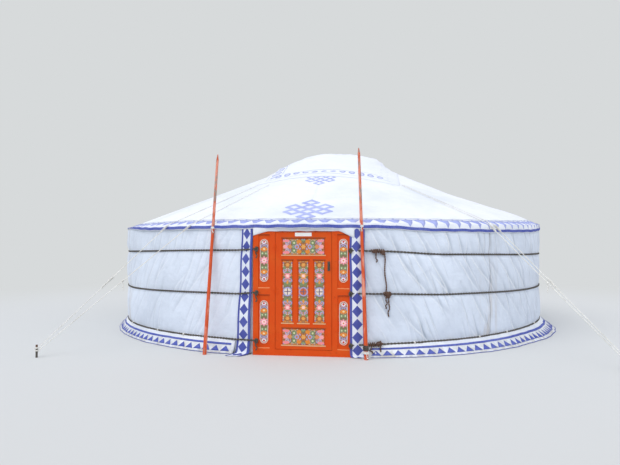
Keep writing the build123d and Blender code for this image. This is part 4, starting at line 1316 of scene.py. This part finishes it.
def skirt_ties():
    """Short white cords that tie the skirt to the lower girth rope."""
    paths = []
    for k in range(24):
        angle = 22.0 + k * 13.6 + 2.5 * math.sin(k * 2.1)
        if angle <= 340.0:
            height = band_height("lower", angle)
            middle = on_wall(angle, height, 0.016)
            paths.append(lump(angle, height, 0.016, 0.014, 0.020, 3))
            paths.append(hanging(middle + around(0.012, angle, -0.01), 0.05, 0.03, float(k)))
    strands("skirt_ties", paths, 0.0035, cotton_rope(), 0.04, 0.7)


def pole_ties():
    """The cords that hold the two leaning poles to the eave, and the lashing at the foot of the right one."""
    white = []
    dark = []
    for foot_x, foot_out, eave_x in LEAN_POLES:
        foot = Vector((foot_x, -math.sqrt((WALL_RADIUS + foot_out) ** 2 - foot_x**2), 0.0))
        rest = Vector((eave_x, -math.sqrt((ROOF_EDGE + 0.021) ** 2 - eave_x**2), EAVE))
        axis = (rest - foot).normalized()
        tie = foot + axis * 1.775
        white.append(coil(tie, axis, 0.026, 0.028, 3))
        white.append(hanging(tie + Vector((0.0, -0.026, 0.0)), 0.07, 0.04, foot_x))
        if foot_x > 0:
            dark.append(coil(foot + axis * 0.15, axis, 0.034, 0.07, 4))
            white.append(coil(foot + axis * 0.09, axis, 0.033, 0.035, 3))
            white.append(hanging(foot + axis * 0.085 + Vector((0.01, -0.034, 0.0)), 0.07, 0.10, 21.0))
    strands("pole_ties", white, 0.004, cotton_rope(), 0.045)
    strands("pole_lashing", dark, 0.006, horsehair(), 0.06)


def stay_route(peg_angle, peg_out, eave_angle, level):
    """Control points of one stay rope, from the roof beside the crown cover over the eave to its peg."""
    lift = (ROPE_RADIUS + GAP) / math.cos(ROOF_PITCH)
    edge = ROOF_EDGE + 3 * ROPE_RADIUS
    peg = around(WALL_RADIUS + peg_out, peg_angle, 0.0)
    top = around(ROPE_START, eave_angle, APEX - ROPE_START * SLOPE + lift)
    turn = around(edge, eave_angle, APEX - edge * SLOPE + lift)
    inwards = Vector((turn.x - peg.x, turn.y - peg.y, 0)).normalized()
    foot = peg + Vector((0, 0, level)) + inwards * (PEG_RADIUS + GAP + ROPE_RADIUS)
    before = turn + (top - turn).normalized() * ROPE_BEND
    after = turn + (foot - turn).normalized() * ROPE_BEND
    return [top, before, turn, after, foot], peg


def route_points(name, points):
    """Points along the route's smooth spline."""
    curve = bpy.data.curves.new(name, "CURVE")
    curve.dimensions = "3D"
    curve.resolution_u = 24
    spline = curve.splines.new("NURBS")
    spline.points.add(len(points) - 1)
    for control, point in zip(spline.points, points):
        control.co = (*point, 1.0)
    spline.order_u = 3
    spline.use_endpoint_u = True
    guide = bpy.data.objects.new(name, curve)
    bpy.context.scene.collection.objects.link(guide)
    bpy.context.view_layer.update()
    mesh = bpy.data.meshes.new_from_object(guide)
    line = [v.co.copy() for v in mesh.vertices]
    bpy.data.objects.remove(guide)
    bpy.data.meshes.remove(mesh)
    return line


def point_on(path, distance):
    """The point this far along a run of points, and the direction there."""
    for a, b in zip(path, path[1:]):
        step = (b - a).length
        if distance <= step:
            return a.lerp(b, distance / step), (b - a).normalized()
        distance -= step
    return path[-1], (path[-1] - path[-2]).normalized()


def stay_rope(name, route, peg, level, hitched, stands_for):
    """A taut rope, with the loop round its peg, the lashing below the eave, and a tightening hitch or a loose
    end half-way down."""
    path = route_points(name + "_route", route)
    rope = strands(name, [path], 0.0036, cotton_rope(), 0.055, 0.9)
    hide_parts(stands_for)
    slope_run = (route[2] - route[0]).length
    free_run = (route[4] - route[2]).length
    at_eave, down = point_on(path, slope_run + 0.09)
    half_way, down = point_on(path, slope_run + free_run * 0.47)
    turns = [math.pi * i / 6 for i in range(26)]
    loop = [
        (peg.x + 0.0215 * math.cos(turn), peg.y + 0.0215 * math.sin(turn), level - 0.008 + 0.016 * i / 25)
        for i, turn in enumerate(turns)
    ]
    ties = [loop, coil(at_eave, down, 0.012, 0.14, 9)]
    if hitched:
        ties.append(coil(half_way, down, 0.014, 0.10, 6))
        ties.append(coil(half_way + down * 0.11, down, 0.010, 0.14, 8))
    else:
        ties.append(coil(half_way, down, 0.011, 0.03, 3))
        ties.append(hanging(half_way, 0.13, 0.04, 0.0))
    tied = strands(name + "_ties", ties, 0.004, cotton_rope(), 0.05)


def stay_ropes():
    """The eight ropes to the pegs, the same behind as in front."""
    for place, turned in (("front", 0.0), ("back", 180.0)):
        for label, out, peg_angle, eave_angles in STAYS:
            for k, eave_angle in enumerate(eave_angles):
                level = PEG_LEVEL + (k - 0.5) * PEG_STEP
                route, peg = stay_route(peg_angle + turned, out, eave_angle + turned, level)
                stay_rope(f"stay_{place}_{label}_{k + 1}", route, peg, level, k > 0, f"stay_ropes_{place}")


def repaint_solids():
    """Gives each solid that stays in view its finish, by the start of its name."""
    paint = (chosen("door"), "#d86726", "#93370a")
    ground = ("#c58c58", "#d2b088", "#8b6a48")
    orange = painted_pine("pine, orange paint", *paint)
    inside = painted_pine("pine, ochre paint", "#cf5a1f", "#d98748", "#7a3818")
    jamb = painted_pine("pine, orange paint and flowers", *paint, ornament=paint_jamb)
    board = painted_pine("pine, ochre ground and scrolls", *ground, ornament=paint_boards)
    iron = forged_iron("forged iron", "#66625c", "#6b4a35")
    for look, starts in (
        (orange, ("hinge_", "door_sill", "door_lintel", "door_leaf", "crown_ring", "crown_spokes")),
        (jamb, ("door_jamb",)),
        (inside, ("lattice_", "roof_poles_", "post_")),
        (board, ("door_panels",)),
        (iron, ("door_handle", "pegs")),
        (faded_pole("pine pole, worn orange paint"), ("lean_pole_",)),
    ):
        for node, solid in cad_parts.items():
            if node.startswith(starts):
                solid.data.materials.clear()
                solid.data.materials.append(look)


def slab(name, low, high, look, bevel=0.002):
    """A board of the door leaf with eased edges between two corners."""
    middle = [(a + b) / 2 for a, b in zip(low, high)]
    size = [b - a for a, b in zip(low, high)]
    bpy.ops.object.select_all(action="DESELECT")
    bpy.ops.mesh.primitive_cube_add(size=1.0, location=middle, scale=size)
    piece = bpy.context.object
    piece.name = name
    bpy.ops.object.transform_apply(location=True, rotation=True, scale=True)
    apply_modifier(piece, "BEVEL", width=bevel, segments=2)
    piece.data.materials.append(look)
    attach(piece, "door")


def door_trim():
    """The mouldings above and below each panel of the leaf, with painted shade on the ones above and a
    painted highlight on the ones below, and the bare white plate over them.
    """
    # The lower mouldings are painted light, as a painted highlight from above, and the upper ones dark, as
    # painted shade
    pale = painted_pine("pine, bare edge", "#dca878", "#e8c49c", "#b9733f")
    dark = painted_pine("pine, shaded edge", "#a1481d", "#b5602f", "#6f2f12")
    back, front = -DOOR_FACE - 0.005, -DOOR_FACE + 0.006
    for k, (middle, width, foot, top) in enumerate(LEAF_PANELS):
        left, right = middle - width / 2 - 0.008, middle + width / 2 + 0.008
        slab(f"moulding_foot_{k + 1}", (left, back, foot - 0.006), (right, front, foot + 0.010), pale)
        slab(f"moulding_top_{k + 1}", (left, back, top - 0.006), (right, front, top + 0.008), dark)
    white = painted_pine("tin plate, white enamel", "#f1f1ee", "#e4e3de", "#cfccc2", gloss=0.35)
    back, front = -DOOR_FACE - 0.004, -DOOR_FACE + 0.001
    slab("door_plate", (-0.115, back, 1.632), (0.115, front, 1.682), white, 0.001)


def metres(name, description, default):
    """A setting in metres."""
    return bpy.props.FloatProperty(name=name, description=description, default=default, unit="LENGTH")


def swatch(name, description, code):
    """A colour setting, whose default is a hex code."""
    return bpy.props.FloatVectorProperty(
        name=name, description=description, default=rgb(code), size=4, min=0.0, max=1.0, subtype="COLOR"
    )


class YurtColourSettings(bpy.types.PropertyGroup):
    """Colours of the cloth and the paint, where they are clean and whole."""

    wall: swatch("Wall canvas", "Canvas round the wall", "#e2ebf8")
    roof: swatch("Roof canvas", "Canvas over the roof", "#f1f4fa")
    blue: swatch("Blue cloth", "Line of the roof's hem, and line and triangles of the skirt", "#4a57ad")
    door: swatch("Orange paint", "Oil paint on the door, its frame and the crown", "#d64a02")


class YurtClothSettings(bpy.types.PropertyGroup):
    """Sizes of the cloth."""

    bulge: metres("Wall fullness", "How far the wall cloth swells between the ropes", 0.034)
    pucker: metres("Pucker depth", "Depth of the gathers beside each rope", 0.010)
    fold: metres("Fold depth", "Height of the long slanting folds", 0.018)
    roof_sag: metres("Roof sag", "How far the roof cloth dips between two poles at the eave", 0.010)
    hem_drop: metres("Hem drop", "How far the roof cloth hangs over the eave", 0.085)
    shoulder: bpy.props.FloatProperty(
        name="Right shoulder", description="Share of the fullness of the roof cloth on the right", default=1.0
    )


class YurtStageSettings(bpy.types.PropertyGroup):
    """The camera and the light."""

    lens: bpy.props.FloatProperty(name="Lens", description="Focal length", default=31.35, unit="CAMERA")
    sky: bpy.props.FloatProperty(name="Sky", description="Strength of the light from all round", default=0.72)
    key: bpy.props.FloatProperty(name="Key light", description="Strength of the upper light", default=1.5)


def stage_set():
    """Floor, light and camera."""
    settings = bpy.context.scene.yurt_stage
    bpy.ops.object.select_all(action="DESELECT")
    bpy.ops.mesh.primitive_circle_add(vertices=96, radius=90.0, fill_type="NGON", location=(0, 0, -0.001))
    floor = bpy.context.object
    floor.name = "floor"
    floor.data.materials.append(studio_floor("studio floor"))

    world = bpy.data.worlds.new("studio")
    bpy.context.scene.world = world
    world.use_nodes = True
    world.node_tree.nodes.clear()
    add = functools.partial(add_node, world.node_tree)
    soft = add("Background", {"Color": "#eef3ff", "Strength": settings.sky})
    white = add("Background", {"Color": BACKDROP, "Strength": 1.0})
    add("OutputWorld", {"Surface": add("MixShader", (seen_directly(add), soft, white))})

    for name, tilt, turn, strength, spread in (
        ("key", 38, -28, settings.key, 60),
        ("fill", 55, 50, settings.key * 0.35, 90),
    ):
        lamp = bpy.data.lights.new(name, "SUN")
        lamp.energy = strength
        lamp.angle = math.radians(spread)
        light = bpy.data.objects.new(name, lamp)
        light.rotation_euler = (math.radians(tilt), 0.0, math.radians(turn))
        bpy.context.scene.collection.objects.link(light)

    lens = bpy.data.cameras.new("view")
    lens.lens = settings.lens
    lens.sensor_width = 36.0
    lens.clip_end = 500.0
    camera = bpy.data.objects.new("view", lens)
    camera.location = CAMERA_PLACE
    camera.rotation_euler = CAMERA_TURN
    bpy.context.scene.collection.objects.link(camera)
    bpy.context.scene.camera = camera
    bpy.context.scene.view_settings.view_transform = "Standard"


class YURT_OT_stage(bpy.types.Operator):
    """Adds the floor, the light and the camera"""

    bl_idname = "yurt.stage"
    bl_label = "Stage"

    def execute(self, context):
        stage_set()
        return {"FINISHED"}


class YURT_OT_wall(bpy.types.Operator):
    """Hangs the wall's canvas and felt"""

    bl_idname = "yurt.wall"
    bl_label = "Wall cloth"

    def execute(self, context):
        wall_canvas()
        wall_felt()
        return {"FINISHED"}


class YURT_OT_roof(bpy.types.Operator):
    """Lays the roof's canvas and felt with their ornament, and the crown cover"""

    bl_idname = "yurt.roof"
    bl_label = "Roof cloth"

    def execute(self, context):
        roof_canvas()
        roof_felt()
        roof_border()
        roof_knots()
        crown_cloth()
        return {"FINISHED"}


class YURT_OT_trim(bpy.types.Operator):
    """Hangs the skirt, the strips beside the door and the cloth over its head"""

    bl_idname = "yurt.trim"
    bl_label = "Skirt, strips and flap"

    def execute(self, context):
        skirt_cloths()
        door_strips()
        door_flap()
        return {"FINISHED"}


class YURT_OT_ropes(bpy.types.Operator):
    """Ties the girth ropes and the stay ropes"""

    bl_idname = "yurt.ropes"
    bl_label = "Ropes"

    def execute(self, context):
        girth_ropes()
        rope_knots()
        gathered_ropes()
        skirt_ties()
        pole_ties()
        stay_ropes()
        return {"FINISHED"}


class YURT_OT_paint(bpy.types.Operator):
    """Paints the door, the poles, the lattice and the crown, and adds the door's mouldings"""

    bl_idname = "yurt.paint"
    bl_label = "Paint"

    def execute(self, context):
        repaint_solids()
        door_trim()
        return {"FINISHED"}


class YURT_PT_panel(bpy.types.Panel):
    """The yurt's tools in the sidebar"""

    bl_idname = "YURT_PT_panel"
    bl_label = "Yurt"
    bl_space_type = "VIEW_3D"
    bl_region_type = "UI"
    bl_category = "Yurt"

    def draw(self, context):
        scene = context.scene
        for settings in (scene.yurt_colours, scene.yurt_cloth, scene.yurt_stage):
            for key in settings.__annotations__:
                self.layout.prop(settings, key)
        for operator in OPERATORS:
            self.layout.operator(operator.bl_idname)


OPERATORS = (YURT_OT_stage, YURT_OT_ropes, YURT_OT_wall, YURT_OT_roof, YURT_OT_trim, YURT_OT_paint)
CLASSES = (YurtColourSettings, YurtClothSettings, YurtStageSettings, *OPERATORS, YURT_PT_panel)


def register():
    for item in CLASSES:
        bpy.utils.register_class(item)
    bpy.types.Scene.yurt_colours = bpy.props.PointerProperty(type=YurtColourSettings)
    bpy.types.Scene.yurt_cloth = bpy.props.PointerProperty(type=YurtClothSettings)
    bpy.types.Scene.yurt_stage = bpy.props.PointerProperty(type=YurtStageSettings)


def unregister():
    del bpy.types.Scene.yurt_colours
    del bpy.types.Scene.yurt_cloth
    del bpy.types.Scene.yurt_stage
    for item in reversed(CLASSES):
        bpy.utils.unregister_class(item)


def main():
    register()
    bpy.ops.yurt.stage()
    bpy.ops.yurt.ropes()
    bpy.ops.yurt.wall()
    bpy.ops.yurt.roof()
    bpy.ops.yurt.trim()
    bpy.ops.yurt.paint()


if __name__ == "__main__":
    main()
